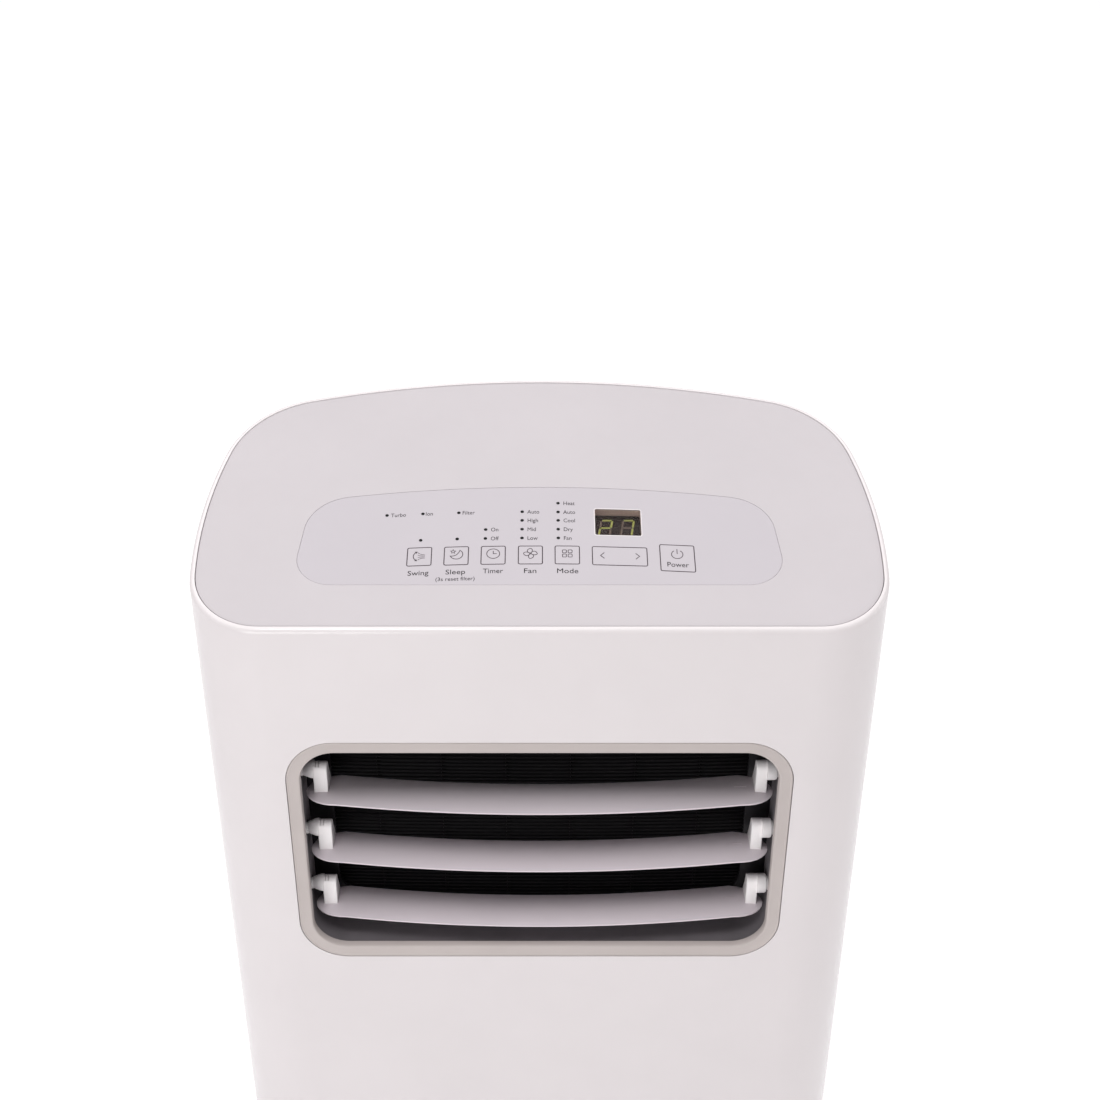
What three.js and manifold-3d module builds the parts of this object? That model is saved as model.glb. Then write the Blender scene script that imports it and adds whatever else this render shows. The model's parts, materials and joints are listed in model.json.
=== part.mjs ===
// A slim portable air conditioner with a drying mode, as an assembly of separate pieces.
// Millimetres, +X to the right, +Y to the back, +Z up.
// The origin is on the floor under the middle of the body.
import * as THREE from "three";
import { mergeVertices } from "three/addons/utils/BufferGeometryUtils.js";
import Module from "manifold-3d";

const wasm = await Module();
wasm.setup();

// Driving dimensions of the body.
const WIDTH = 404;
const DEPTH = 204;
const DECK_TILT = THREE.MathUtils.degToRad(15);
const DECK_PIVOT = { y: -45.92, z: 638.155 }; // a point of the deck plane, under the row of keys
const WALL = 3.3;
const GAP = 0.3; // between pieces that touch
const SEAM = 0.6; // visible gap between the deck and the rim
const SIDE_RADIUS = 300;
const SIDE_WIDEST_Y = -38;
const REAR_RADIUS = 600;
const FRONT_CORNER_RADIUS = 44;
const REAR_CORNER_RADIUS = 66;
const SPLIT_Y = 52; // where the front and rear housings meet
const BASE_BOTTOM_Z = 28;
const BASE_TOP_Z = 70;

// Air outlet in the front face, with its three louvres.
const FRONT_Y = -DEPTH / 2;
const REAR_Y = DEPTH / 2;
const RING = { halfWidth: 149.9, top: 543.6, bottom: 371.7, radius: 29.5, band: 8.3, thick: 5 };
const RING_Z = (RING.top + RING.bottom) / 2;
const RING_HEIGHT = RING.top - RING.bottom;
const MOUTH = {
  halfWidth: RING.halfWidth - RING.band,
  height: RING_HEIGHT - 2 * RING.band,
  radius: RING.radius - RING.band,
};
const DUCT_BACK_Y = -64;
const DUCT_WALL = 3;
const DUCT_EASE = 2.4; // the duct is this much larger than the mouth all round
const CHEEK_X = MOUTH.halfWidth + DUCT_EASE; // inner face of the duct's side walls
const GRILLE = { front: -60.8, back: -56.6 };
const LOUVRE_PIVOT = { y: -79, z: 504.8 };
const LOUVRE_PITCH = 46;
const LOUVRE_NAMES = ["upper", "middle", "lower"];
const CRANK_REACH = 10;
const BLADE = {
  drop: 17.5,
  thick: 2.7,
  centreY: 789.5,
  frontR: 890,
  rearR: 862.5,
  capStart: 122,
  capReach: 20.2,
};
const ARM = { front: 4.5, back: 5.5, above: 7, below: 16 };

// Rear openings.
const COVER = { halfWidth: 122, bottom: 440, top: 612 };
const LOWER_GRILLE = { halfWidth: 122, bottom: 84, top: 276 };
const COLLAR = { z: 346, bore: 54, tube: 58, flange: 68 };
const PLUG = { stem: 7.6, bore: 8.6, spout: 11, cap: 13 };
const UPPER_PLUG = { x: 100, z: 422, capBack: 97.5 };
const LOWER_PLUG = { x: 0, z: 50, capBack: 98.7 };
const GLAND = { x: -100, z: 306, radius: 9 };
const HANDLE = { y: -10, z: 559, length: 86, height: 38, corner: 9, wall: 2.5, depthX: 176, flange: 12 };

// Casters: the stem of each fork turns in the base, and the wheel trails behind it.
const CASTERS = [
  { name: "front_left", x: -140, y: -56 },
  { name: "front_right", x: 140, y: -56 },
  { name: "rear_left", x: -126, y: 44 },
  { name: "rear_right", x: 126, y: 44 },
];
const WHEEL = { radius: 18, halfWidth: 8.5, axle: 3, trail: 12 };
const WELL = { radius: 34.5, ceiling: 47.5, wall: 3.5 };
const STEM = { radius: 4.4, bore: 5, boss: 10, top: 57 };
const FAR = 300; // beyond the body on any side
const FINE = 28; // facets of the large round pieces

// Machinery.
const COMPRESSOR = { x: -115, y: -20, radius: 50, bottom: 68, top: 250, footReach: 58 };
const ACCUMULATOR = { x: -58, y: 30, radius: 20, bottom: 110, top: 210 };
const EXHAUST_FAN = { x: 66, z: 174, radius: 55, back: 34 };
const BLOWER = { x: 0, z: 502, radius: 55, back: 30 };
const TRAY = { halfWidth: 152, front: -55, back: 77, bottom: 412, top: 432, wall: 2.5 };

// Control panel. Places are (u, v) in the deck plane, from the middle of the row of keys.
const DECK_TOP = -SEAM;
const DECK_THICK = 4;
const OVERLAY_THICK = 0.8;
const POCKET_DEPTH = 1.8;
const BOARD_TOP = -12.4;
const KEY_ARC = 1300; // the row of keys lies on an arc of this radius
const KEYS = [
  { name: "key_swing", u: -69.7, v: -1.4, w: 14.4, h: 14.6 },
  { name: "key_sleep", u: -48.3, v: -0.7, w: 14.4, h: 14.6 },
  { name: "key_timer", u: -26.9, v: -0.2, w: 14.4, h: 14.6 },
  { name: "key_fan", u: -5.3, v: 0, w: 14.4, h: 14.6 },
  { name: "key_mode", u: 16.1, v: 0, w: 14.6, h: 14.6 },
  { name: "key_down", u: 38.4, v: -0.7, w: 15.9, h: 14.8 },
  { name: "key_up", u: 54.7, v: -1.4, w: 15.9, h: 14.8 },
  { name: "key_power", u: 79.9, v: -2.6, w: 20.3, h: 21 },
];
const WINDOW = { u: 46.3, v: 26.2, w: 27.2, h: 21.2 };

// ---------------------------------------------------------------- materials

const paint = (color, roughness, metalness = 0) =>
  new THREE.MeshStandardMaterial({ color, roughness, metalness });
const PAINTS = {
  gloss_white: paint(0xe5e0e0, 0.18),
  matte_white: paint(0xdddadb, 0.6),
  overlay: paint(0xd9d5da, 0.5),
  trim_grey: paint(0xbdb4b2, 0.4),
  louvre_white: paint(0xe2dee0, 0.4),
  duct_grey: paint(0x8a8688, 0.6),
  black_plastic: paint(0x0e0d10, 0.5),
  smoked_window: paint(0x403a38, 0.1),
  circuit_green: paint(0x2f5a3a, 0.5),
  foam: paint(0x8f9296, 0.9),
  fin_metal: paint(0xb8bcc0, 0.4, 0.9),
  copper: paint(0xb87345, 0.35, 1),
  steel_black: paint(0x1b1b1d, 0.4, 0.4),
  galvanised: paint(0xa3a7aa, 0.45, 0.9),
  rubber: paint(0x1c1c1c, 0.9),
  filter_grey: paint(0x3b3d40, 0.8),
};

// ---------------------------------------------------------------- solids

function solidOf(geometry) {
  const bare = geometry.index ? geometry.toNonIndexed() : geometry.clone();
  bare.deleteAttribute("normal");
  bare.deleteAttribute("uv");
  const merged = mergeVertices(bare, 1e-4);
  return new wasm.Manifold(
    new wasm.Mesh({
      numProp: 3,
      vertProperties: merged.attributes.position.array,
      triVerts: new Uint32Array(merged.index.array),
    }),
  );
}

function geometryOf(solid) {
  const made = solid.getMesh();
  const geometry = new THREE.BufferGeometry();
  geometry.setAttribute("position", new THREE.BufferAttribute(new Float32Array(made.vertProperties), 3));
  geometry.setIndex(new THREE.BufferAttribute(new Uint32Array(made.triVerts), 1));
  const flat = geometry.toNonIndexed();
  flat.computeVertexNormals();
  return flat;
}

const join = (parts) => parts.reduce((whole, part) => whole.add(part));
const cut = (whole, parts) => parts.reduce((left, part) => left.subtract(part), whole);

function piece(name, material, solid) {
  const mesh = new THREE.Mesh(geometryOf(solid), PAINTS[material]);
  mesh.name = name;
  return mesh;
}

// ---------------------------------------------------------------- basic shapes

// A convex outline of arcs, counter-clockwise. Straight tangents join arcs that don't touch.
function arcOutline(arcs, inset = 0) {
  const joinAngle = (a, b) => {
    const [dx, dy] = [b.x - a.x, b.y - a.y];
    const ratio = THREE.MathUtils.clamp((a.r - b.r) / Math.hypot(dx, dy), -1, 1);
    return Math.atan2(dy, dx) - Math.acos(ratio);
  };
  const points = [];
  arcs.forEach((arc, i) => {
    const from = joinAngle(arcs[(i + arcs.length - 1) % arcs.length], arc);
    const turn = THREE.MathUtils.euclideanModulo(
      joinAngle(arc, arcs[(i + 1) % arcs.length]) - from,
      2 * Math.PI,
    );
    for (let k = 0; k <= arc.steps; k += 1) {
      const angle = from + (turn * k) / arc.steps;
      const r = arc.r - inset;
      points.push(new THREE.Vector2(arc.x + r * Math.cos(angle), arc.y + r * Math.sin(angle)));
    }
  });
  return points.filter((p, i) => p.distanceTo(points[(i + 1) % points.length]) > 1e-3);
}

function roundedRect(halfWidth, halfHeight, radius, x = 0, y = 0, steps = 5) {
  const [dx, dy] = [halfWidth - radius, halfHeight - radius];
  const corners = [[-dx, -dy], [dx, -dy], [dx, dy], [-dx, dy]];
  return arcOutline(corners.map(([cx, cy]) => ({ x: x + cx, y: y + cy, r: radius, steps })));
}

function circlePoints(r, x, y, sides) {
  const corner = (angle) => new THREE.Vector2(x + r * Math.cos(angle), y + r * Math.sin(angle));
  return Array.from({ length: sides }, (_, k) => corner((2 * Math.PI * k) / sides));
}

const extruded = (points, depth) =>
  new THREE.ExtrudeGeometry(new THREE.Shape(points), { depth, bevelEnabled: false });

// Prisms of an outline in (x, y), (x, z) or (y, z).
const prismZ = (points, z0, z1) => solidOf(extruded(points, z1 - z0).translate(0, 0, z0));
const prismY = (points, y0, y1) =>
  solidOf(extruded(points, y1 - y0).rotateX(Math.PI / 2).translate(0, y1, 0));
const prismX = (points, x0, x1) =>
  solidOf(
    extruded(points, x1 - x0)
      .applyMatrix4(new THREE.Matrix4().makeBasis(
        new THREE.Vector3(0, 1, 0),
        new THREE.Vector3(0, 0, 1),
        new THREE.Vector3(1, 0, 0),
      ))
      .translate(x0, 0, 0),
  );

function box(x0, x1, y0, y1, z0, z1) {
  const geometry = new THREE.BoxGeometry(x1 - x0, y1 - y0, z1 - z0);
  return solidOf(geometry.translate((x0 + x1) / 2, (y0 + y1) / 2, (z0 + z1) / 2));
}

// Round rods along Y, Z and X.
const rod = (r, length, sides) => new THREE.CylinderGeometry(r, r, length, sides);
const rodY = (r, x, z, y0, y1, sides = 12) => solidOf(rod(r, y1 - y0, sides).translate(x, (y0 + y1) / 2, z));
const rodZ = (r, x, y, z0, z1, sides = 12) =>
  solidOf(rod(r, z1 - z0, sides).rotateX(Math.PI / 2).translate(x, y, (z0 + z1) / 2));
const rodX = (r, y, z, x0, x1, sides = 12) =>
  solidOf(rod(r, x1 - x0, sides).rotateZ(Math.PI / 2).translate((x0 + x1) / 2, y, z));

// A round tube of radius r along a smooth line through the points.
function pipe(points, r, steps) {
  const path = new THREE.CatmullRomCurve3(points.map((p) => new THREE.Vector3(...p)), false, "centripetal");
  const section = new THREE.Shape(circlePoints(r, 0, 0, 6));
  return solidOf(new THREE.ExtrudeGeometry(section, { steps, extrudePath: path, bevelEnabled: false }));
}

// ---------------------------------------------------------------- the body in plan

const SIDE_X = WIDTH / 2 - SIDE_RADIUS;
const REAR_CENTRE_Y = REAR_Y - REAR_RADIUS;

// Where a corner circle of radius r touches both the side arc and the rear arc from inside.
function rearCorner() {
  const [ra, rb] = [SIDE_RADIUS - REAR_CORNER_RADIUS, REAR_RADIUS - REAR_CORNER_RADIUS];
  const [dx, dy] = [-SIDE_X, REAR_CENTRE_Y - SIDE_WIDEST_Y];
  const d = Math.hypot(dx, dy);
  const along = (ra * ra - rb * rb + d * d) / (2 * d);
  const across = Math.sqrt(ra * ra - along * along);
  return { x: SIDE_X + (along * dx - across * dy) / d, y: SIDE_WIDEST_Y + (along * dy + across * dx) / d };
}

function bodyArcs() {
  const frontY = FRONT_Y + FRONT_CORNER_RADIUS;
  const reach = SIDE_RADIUS - FRONT_CORNER_RADIUS;
  const frontX = SIDE_X + Math.sqrt(reach * reach - (frontY - SIDE_WIDEST_Y) ** 2);
  const rear = rearCorner();
  const arcs = (side) => [
    { x: side * frontX, y: frontY, r: FRONT_CORNER_RADIUS, steps: 6 },
    { x: side * SIDE_X, y: SIDE_WIDEST_Y, r: SIDE_RADIUS, steps: 3 },
    { x: side * rear.x, y: rear.y, r: REAR_CORNER_RADIUS, steps: 6 },
  ];
  const back = { x: 0, y: REAR_CENTRE_Y, r: REAR_RADIUS, steps: 8 };
  return [...arcs(1), back, ...arcs(-1).reverse()];
}

const bodyOutline = (inset) => arcOutline(bodyArcs(), inset);
const rearSurfaceY = (x) => REAR_CENTRE_Y + Math.sqrt(REAR_RADIUS ** 2 - x * x);

const DECK_MATRIX = new THREE.Matrix4()
  .makeTranslation(0, DECK_PIVOT.y, DECK_PIVOT.z)
  .multiply(new THREE.Matrix4().makeRotationX(DECK_TILT));

// A prism of an outline (u, v) in the deck plane, between two heights along the plane's normal.
const tiltedPrism = (points, w0, w1) =>
  solidOf(extruded(points, w1 - w0).translate(0, 0, w0).applyMatrix4(DECK_MATRIX));
const deckSlab = (w0, w1) => tiltedPrism(roundedRect(WIDTH, WIDTH, 20), w0, w1);

// The body's skin between two heights, thick outwards from inset.
const skin = (thick, z0, z1) =>
  prismZ(bodyOutline(0), z0, z1).subtract(prismZ(bodyOutline(thick), z0 - 1, z1 + 1));

// An upright prism of the body's outline, moved in by inset and cut to a slab along the deck.
const deckPlate = (inset, w0, w1) => prismZ(bodyOutline(inset), 500, 800).intersect(deckSlab(w0, w1));

// ---------------------------------------------------------------- casing

function basePan() {
  const floor = prismZ(bodyOutline(1), BASE_BOTTOM_Z, BASE_BOTTOM_Z + 5);
  const shell = skin(WALL, BASE_BOTTOM_Z, BASE_TOP_Z).add(floor);
  const bosses = CASTERS.flatMap((c) => [
    rodZ(WELL.radius + WELL.wall, c.x, c.y, BASE_BOTTOM_Z, WELL.ceiling + WELL.wall, 16),
    rodZ(STEM.boss, c.x, c.y, WELL.ceiling, STEM.top + 3, 8),
  ]);
  const postTop = COMPRESSOR.bottom - 4;
  const posts = compressorFeet().map(([x, y]) => rodZ(6, x, y, BASE_BOTTOM_Z + 2, postTop, 8));
  const spout = [
    rodY(PLUG.spout, LOWER_PLUG.x, LOWER_PLUG.z, 78, 93.2),
    box(LOWER_PLUG.x - 4, LOWER_PLUG.x + 4, 78, 93, BASE_BOTTOM_Z + 2, LOWER_PLUG.z - 9),
  ];
  const wells = CASTERS.flatMap((c) => [
    rodZ(WELL.radius, c.x, c.y, BASE_BOTTOM_Z - 1, WELL.ceiling, 16),
    rodZ(STEM.bore, c.x, c.y, WELL.ceiling - 1, STEM.top),
  ]);
  const drain = [
    rodY(PLUG.bore, LOWER_PLUG.x, LOWER_PLUG.z, 76, 100),
    rodY(PLUG.cap + 0.5, LOWER_PLUG.x, LOWER_PLUG.z, 93.4, 104),
  ];
  const whole = join([shell, ...bosses, ...posts, ...spout]);
  return piece("base_pan", "gloss_white", cut(whole, [...wells, ...drain]));
}

// The shell of both housings: walls up to the deck plane, with a ledge inside that the deck rests on.
function casingShell() {
  const top = DECK_PIVOT.z + 60;
  const bottom = BASE_TOP_Z + GAP;
  const walls = skin(WALL, bottom, top);
  const ledge = deckPlate(WALL - 0.5, -8, -5).subtract(deckPlate(8.5, -9, -4));
  return walls.subtract(deckSlab(0, 120)).add(ledge);
}

const ringPrism = (grow, y0, y1) =>
  prismY(
    roundedRect(RING.halfWidth + grow, RING_HEIGHT / 2 + grow, RING.radius + grow, 0, RING_Z),
    y0,
    y1,
  );
const mouthPrism = (grow, y0, y1) =>
  prismY(
    roundedRect(MOUTH.halfWidth + grow, MOUTH.height / 2 + grow, MOUTH.radius + grow, 0, RING_Z),
    y0,
    y1,
  );

// The handle's outline, grown all round, from the bottom of the cup out through the side.
function handleBox(side, grow, outerX) {
  const [x0, x1] = [side * HANDLE.depthX, side * outerX].sort((a, b) => a - b);
  const [halfLength, halfHeight, corner] = [HANDLE.length / 2, HANDLE.height / 2, HANDLE.corner];
  const points = roundedRect(halfLength + grow, halfHeight + grow, corner + grow, HANDLE.y, HANDLE.z, 3);
  return prismX(points, x0, x1);
}

function frontHousing() {
  const front = casingShell().intersect(box(-FAR, FAR, -FAR, SPLIT_Y, 0, 800));
  const handles = [1, -1].map((side) => handleBox(side, HANDLE.flange + 0.4, 210));
  const cuts = [ringPrism(GAP, FRONT_Y - 1, FRONT_Y + WALL + 2), ...handles];
  return piece("front_housing", "gloss_white", cut(front, cuts));
}

const panelBox = ({ halfWidth, bottom, top }, grow) =>
  box(-halfWidth - grow, halfWidth + grow, SPLIT_Y + 20, FAR, bottom - grow, top + grow);

function rearHousing() {
  const rear = casingShell().intersect(box(-FAR, FAR, SPLIT_Y + GAP, FAR, 0, 800));
  const cuts = [
    panelBox(COVER, GAP),
    panelBox(LOWER_GRILLE, GAP),
    rodY(COLLAR.flange + 0.9, 0, COLLAR.z, 80, 200, FINE),
    rodY(PLUG.cap + 0.5, UPPER_PLUG.x, UPPER_PLUG.z, 80, 200),
    rodY(GLAND.radius + GAP, GLAND.x, GLAND.z, 80, 200),
  ];
  return piece("rear_housing", "gloss_white", cut(rear, cuts));
}

// A slotted panel that follows the curved back.
function slottedPanel(name, p, slotHeight, pitch, columns) {
  const panel = skin(WALL, p.bottom, p.top).intersect(panelBox(p, 0));
  const margin = 10;
  const columnWidth = (2 * p.halfWidth - margin) / columns;
  const slots = [];
  for (let z = p.bottom + margin; z + slotHeight <= p.top - margin; z += pitch) {
    for (let k = 0; k < columns; k += 1) {
      const x = -p.halfWidth + margin + k * columnWidth;
      slots.push(box(x, x + columnWidth - margin, SPLIT_Y + 20, 200, z, z + slotHeight));
    }
  }
  return piece(name, "gloss_white", cut(panel, slots));
}

function filterFrame() {
  const [hw, z0, z1] = [COVER.halfWidth - 5, COVER.bottom + 6, COVER.top - 6];
  const windows = [];
  for (let i = 0; i < 3; i += 1) {
    for (let k = 0; k < 2; k += 1) {
      const [w, h] = [(2 * hw - 8) / 3, (z1 - z0 - 8) / 2];
      const [x, z] = [-hw + 8 + i * w, z0 + 8 + k * h];
      windows.push(box(x, x + w - 8, 70, 90, z, z + h - 8));
    }
  }
  return piece("filter_frame", "filter_grey", cut(box(-hw, hw, 79, 83, z0, z1), windows));
}

// A finger cup whose flange fills the window in the side wall.
function handleCup(side, name) {
  const { y, z, length, height, corner, wall, depthX, flange } = HANDLE;
  const plate = handleBox(side, flange, 206).intersect(skin(WALL, z - 50, z + 50));
  const shell = handleBox(side, 0, 206).add(plate);
  const [x0, x1] = [side * (depthX + wall), side * 210].sort((a, b) => a - b);
  const pocket = prismX(roundedRect(length / 2 - wall, height / 2 - wall, corner - 2, y, z, 3), x0, x1);
  const inside = prismZ(bodyOutline(GAP), z - 50, z + 50);
  return piece(name, "gloss_white", shell.subtract(pocket).intersect(inside));
}

function exhaustCollar() {
  const flange = rodY(COLLAR.flange, 0, COLLAR.z, 95, REAR_Y - GAP, FINE);
  const tube = rodY(COLLAR.tube, 0, COLLAR.z, 80.3, 96, FINE);
  const bore = rodY(COLLAR.bore, 0, COLLAR.z, 70, 110, FINE);
  return piece("exhaust_collar", "gloss_white", flange.add(tube).subtract(bore));
}

function drainPlug(name, { x, z, capBack }) {
  const cap = rodY(PLUG.cap, x, z, capBack - 5, capBack);
  const stem = rodY(PLUG.stem, x, z, capBack - 16, capBack - 4);
  const grip = box(x - 9, x + 9, capBack - 1, capBack + 3, z - 1.5, z + 1.5);
  return piece(name, "rubber", join([cap, stem, grip]));
}

function cordGland() {
  const wall = rearSurfaceY(GLAND.x);
  const body = rodY(GLAND.radius, GLAND.x, GLAND.z, wall - WALL - 6, wall + 2);
  const nose = rodY(6, GLAND.x, GLAND.z, wall + 1, wall + 8);
  const hole = rodY(3.6, GLAND.x, GLAND.z, wall - 20, wall + 20, 12);
  return piece("cord_gland", "black_plastic", cut(body.add(nose), [hole]));
}

// ---------------------------------------------------------------- outlet and louvres

function outletRing() {
  const back = FRONT_Y + RING.thick;
  const ring = ringPrism(0, FRONT_Y, back).subtract(mouthPrism(0, FRONT_Y - 1, back + 1));
  return piece("outlet_trim_ring", "trim_grey", ring);
}

const louvreZ = (index) => LOUVRE_PIVOT.z - index * LOUVRE_PITCH;

function outletDuct() {
  const front = FRONT_Y + RING.thick + GAP;
  const channel = mouthPrism(DUCT_EASE, front - 1, DUCT_BACK_Y + 1);
  const tube = mouthPrism(DUCT_EASE + DUCT_WALL, front, DUCT_BACK_Y).subtract(channel);
  const bearings = LOUVRE_NAMES.map((_, i) =>
    rodX(5.4, LOUVRE_PIVOT.y, louvreZ(i), -CHEEK_X - 6, CHEEK_X + 6, 12),
  );
  return piece("outlet_duct", "duct_grey", cut(tube, bearings));
}

function outletGrille() {
  const [hw, z0, z1] = [MOUTH.halfWidth, RING_Z - MOUTH.height / 2, RING_Z + MOUTH.height / 2];
  const plate = mouthPrism(DUCT_EASE + 2.5, GRILLE.front, GRILLE.back);
  const slots = [];
  const columns = 4;
  const columnWidth = (2 * hw - 24) / columns;
  for (let z = z0 + 10; z < z1 - 14; z += 17) {
    for (let k = 0; k < columns; k += 1) {
      const x = -hw + 12 + k * columnWidth;
      slots.push(box(x + 1.5, x + columnWidth - 1.5, GRILLE.front - 1, GRILLE.back + 1, z, z + 12));
    }
  }
  return piece("outlet_grille", "black_plastic", cut(plate, slots));
}

// The plan of a louvre blade: it bows forward in the middle, and its ends are round.
function bladePoints() {
  const { centreY, frontR, rearR, capStart, capReach } = BLADE;
  const onArc = (r, x) => centreY - Math.sqrt(r * r - x * x);
  const [half, middleR, spanSteps, capSteps, skew] = [(frontR - rearR) / 2, (frontR + rearR) / 2, 8, 6, 4];
  const edge = (r) =>
    Array.from({ length: spanSteps + 1 }, (_, k) => {
      const x = -capStart + (2 * capStart * k) / spanSteps;
      return new THREE.Vector2(x, onArc(r, x));
    });
  const cap = (side) =>
    Array.from({ length: capSteps - 1 }, (_, k) => {
      const t = -Math.PI / 2 + (Math.PI * (k + 1)) / capSteps;
      const x = capStart + capReach * Math.cos(t);
      return new THREE.Vector2(side * x, onArc(middleR, x) + half * Math.sin(t) - skew * Math.cos(t));
    });
  return [...edge(frontR), ...cap(1), ...edge(rearR).reverse(), ...cap(-1).reverse()];
}

// Two arms stand on the blade, up to the pivot line above it.
function louvre(index) {
  const [y, z] = [LOUVRE_PIVOT.y, louvreZ(index)];
  const blade = prismZ(bladePoints(), z - BLADE.drop, z - BLADE.drop + BLADE.thick);
  const arms = [[-137, -128.5], [131, 138]].map(([x0, x1]) =>
    box(x0, x1, y - ARM.front, y + ARM.back, z - ARM.below, z + ARM.above),
  );
  const stubs = [
    rodX(5, y, z, 0.4 - CHEEK_X, -136),
    rodX(4.4, y, z, -CHEEK_X - 1.8, 0.6 - CHEEK_X),
    rodX(6.6, y, z, 137.5, CHEEK_X - 0.6),
    rodX(4.4, y, z, CHEEK_X - 1.1, CHEEK_X + 1.8),
  ];
  return piece("louvre_" + LOUVRE_NAMES[index], "louvre_white", join([blade, ...arms, ...stubs]));
}

function louvreCrank(index) {
  const [y, z, pinY] = [LOUVRE_PIVOT.y, louvreZ(index), LOUVRE_PIVOT.y + CRANK_REACH];
  const [x0, x1] = [CHEEK_X + 3.6, CHEEK_X + 6.4];
  const lever = [
    rodX(5, y, z, x0, x1, 8),
    rodX(3.2, pinY, z, x0, x1, 8),
    box(x0, x1, y, pinY, z - 3, z + 3),
  ];
  const shaft = rodX(3.8, y, z, CHEEK_X + 2.1, x0 + 1, 8);
  const pin = rodX(1.5, pinY, z, x1 - 1, x1 + 3.5, 8);
  return piece("louvre_crank_" + LOUVRE_NAMES[index], "louvre_white", join([...lever, shaft, pin]));
}

function louvreLink() {
  const [y, top, bottom] = [LOUVRE_PIVOT.y + CRANK_REACH, louvreZ(0), louvreZ(2)];
  const outline = roundedRect(4, (top - bottom) / 2 + 4, 3.9, y, (top + bottom) / 2, 3);
  const bar = prismX(outline, CHEEK_X + 7, CHEEK_X + 9.2);
  const holes = LOUVRE_NAMES.map((_, i) => rodX(2, y, louvreZ(i), CHEEK_X, CHEEK_X + 20, 8));
  return piece("louvre_link", "louvre_white", cut(bar, holes));
}

function louvreMotor() {
  const { y, z } = LOUVRE_PIVOT;
  const face = -CHEEK_X - 10.8;
  const can = rodX(14, y, z + 5, face - 17.6, face);
  const flange = box(face - 2, face, y - 5, y + 5, z - 14, z + 24);
  const nose = rodX(5, y, z, face - 0.6, face + 1.6, 16);
  return piece("louvre_motor", "galvanised", join([can, flange, nose]));
}

function louvreCoupling() {
  const { y, z } = LOUVRE_PIVOT;
  const shaft = rodX(3.6, y, z, -CHEEK_X - 8.9, -CHEEK_X - 2.1);
  const disc = rodX(7, y, z, -CHEEK_X - 7.4, -CHEEK_X - 4.4);
  return piece("louvre_coupling", "louvre_white", shaft.add(disc));
}

// ---------------------------------------------------------------- control panel, in the deck plane

const OVERLAY_ARCS = (() => {
  const [front, rear] = [{ x: 119.5, y: -2.2, r: 21, steps: 6 }, { x: 109.5, y: 18.4, r: 29, steps: 7 }];
  const r = 780;
  const back = { x: 0, y: rear.y - Math.sqrt((r - rear.r) ** 2 - rear.x ** 2), r, steps: 8 };
  return [front, rear, back, { ...rear, x: -rear.x }, { ...front, x: -front.x }];
})();

// A key is square to the panel's depth, and its long edges follow the arc of the row.
function keyPoints(key, grow = 0) {
  const [hw, hh, slope] = [key.w / 2 + grow, key.h / 2 + grow, -key.u / KEY_ARC];
  const corners = [[-hw, -hh], [hw, -hh], [hw, hh], [-hw, hh]];
  return corners.map(([x, y]) => new THREE.Vector2(key.u + x, key.v + y + slope * x));
}

function topDeck() {
  const plate = deckPlate(WALL + SEAM, DECK_TOP - DECK_THICK, DECK_TOP);
  const pocket = tiltedPrism(arcOutline(OVERLAY_ARCS, -GAP), DECK_TOP - POCKET_DEPTH, DECK_TOP + 1);
  const stemHoles = KEYS.map((k) => tiltedPrism(circlePoints(3.2, k.u, k.v, 8), -10, 1));
  const windowHole = tiltedPrism(keyPoints(WINDOW), -10, 1);
  return piece("top_deck", "matte_white", cut(plate, [pocket, windowHole, ...stemHoles]));
}

function controlOverlay() {
  const film = prismZ(arcOutline(OVERLAY_ARCS), DECK_TOP - OVERLAY_THICK, DECK_TOP);
  const posts = [[-115, 20], [115, 20], [0, 46], [-40, -17], [50, -17]].map(
    ([u, v]) => rodZ(4, u, v, DECK_TOP - POCKET_DEPTH + GAP, DECK_TOP - 0.2, 8),
  );
  const holes = KEYS.map((key) => prismZ(keyPoints(key, 0.15), -10, 1));
  const windowHole = prismZ(keyPoints(WINDOW, 0.3), -10, 1);
  return piece("control_overlay", "overlay", cut(join([film, ...posts]), [...holes, windowHole]));
}

function key(k) {
  const cap = prismZ(keyPoints(k, -0.15), DECK_TOP - OVERLAY_THICK, DECK_TOP);
  return piece(k.name, "overlay", cap.add(rodZ(2.2, k.u, k.v, -9.3, DECK_TOP - 0.3, 8)));
}

function displayWindow() {
  const lens = prismZ(keyPoints(WINDOW), DECK_TOP - OVERLAY_THICK, DECK_TOP - 0.1);
  return piece("display_window", "smoked_window", lens);
}

function displayModule() {
  const [u, v] = [WINDOW.u, WINDOW.v];
  const body = box(u - 12.6, u + 12.6, v - 9.5, v + 9.5, BOARD_TOP + GAP, -6);
  return piece("display_module", "black_plastic", body);
}

function controlBoard() {
  const board = box(-96, 96, -16, 44, BOARD_TOP - 1.6, BOARD_TOP);
  const switches = KEYS.map((k) => box(k.u - 3, k.u + 3, k.v - 3, k.v + 3, BOARD_TOP - 1, -9.9));
  return piece("control_board", "circuit_green", join([board, ...switches]));
}

// ---------------------------------------------------------------- machinery

function compressorFeet() {
  const { x, y, footReach } = COMPRESSOR;
  return [90, 210, 330].map((degrees) => {
    const a = THREE.MathUtils.degToRad(degrees);
    return [x + footReach * Math.cos(a), y + footReach * Math.sin(a)];
  });
}

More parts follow.
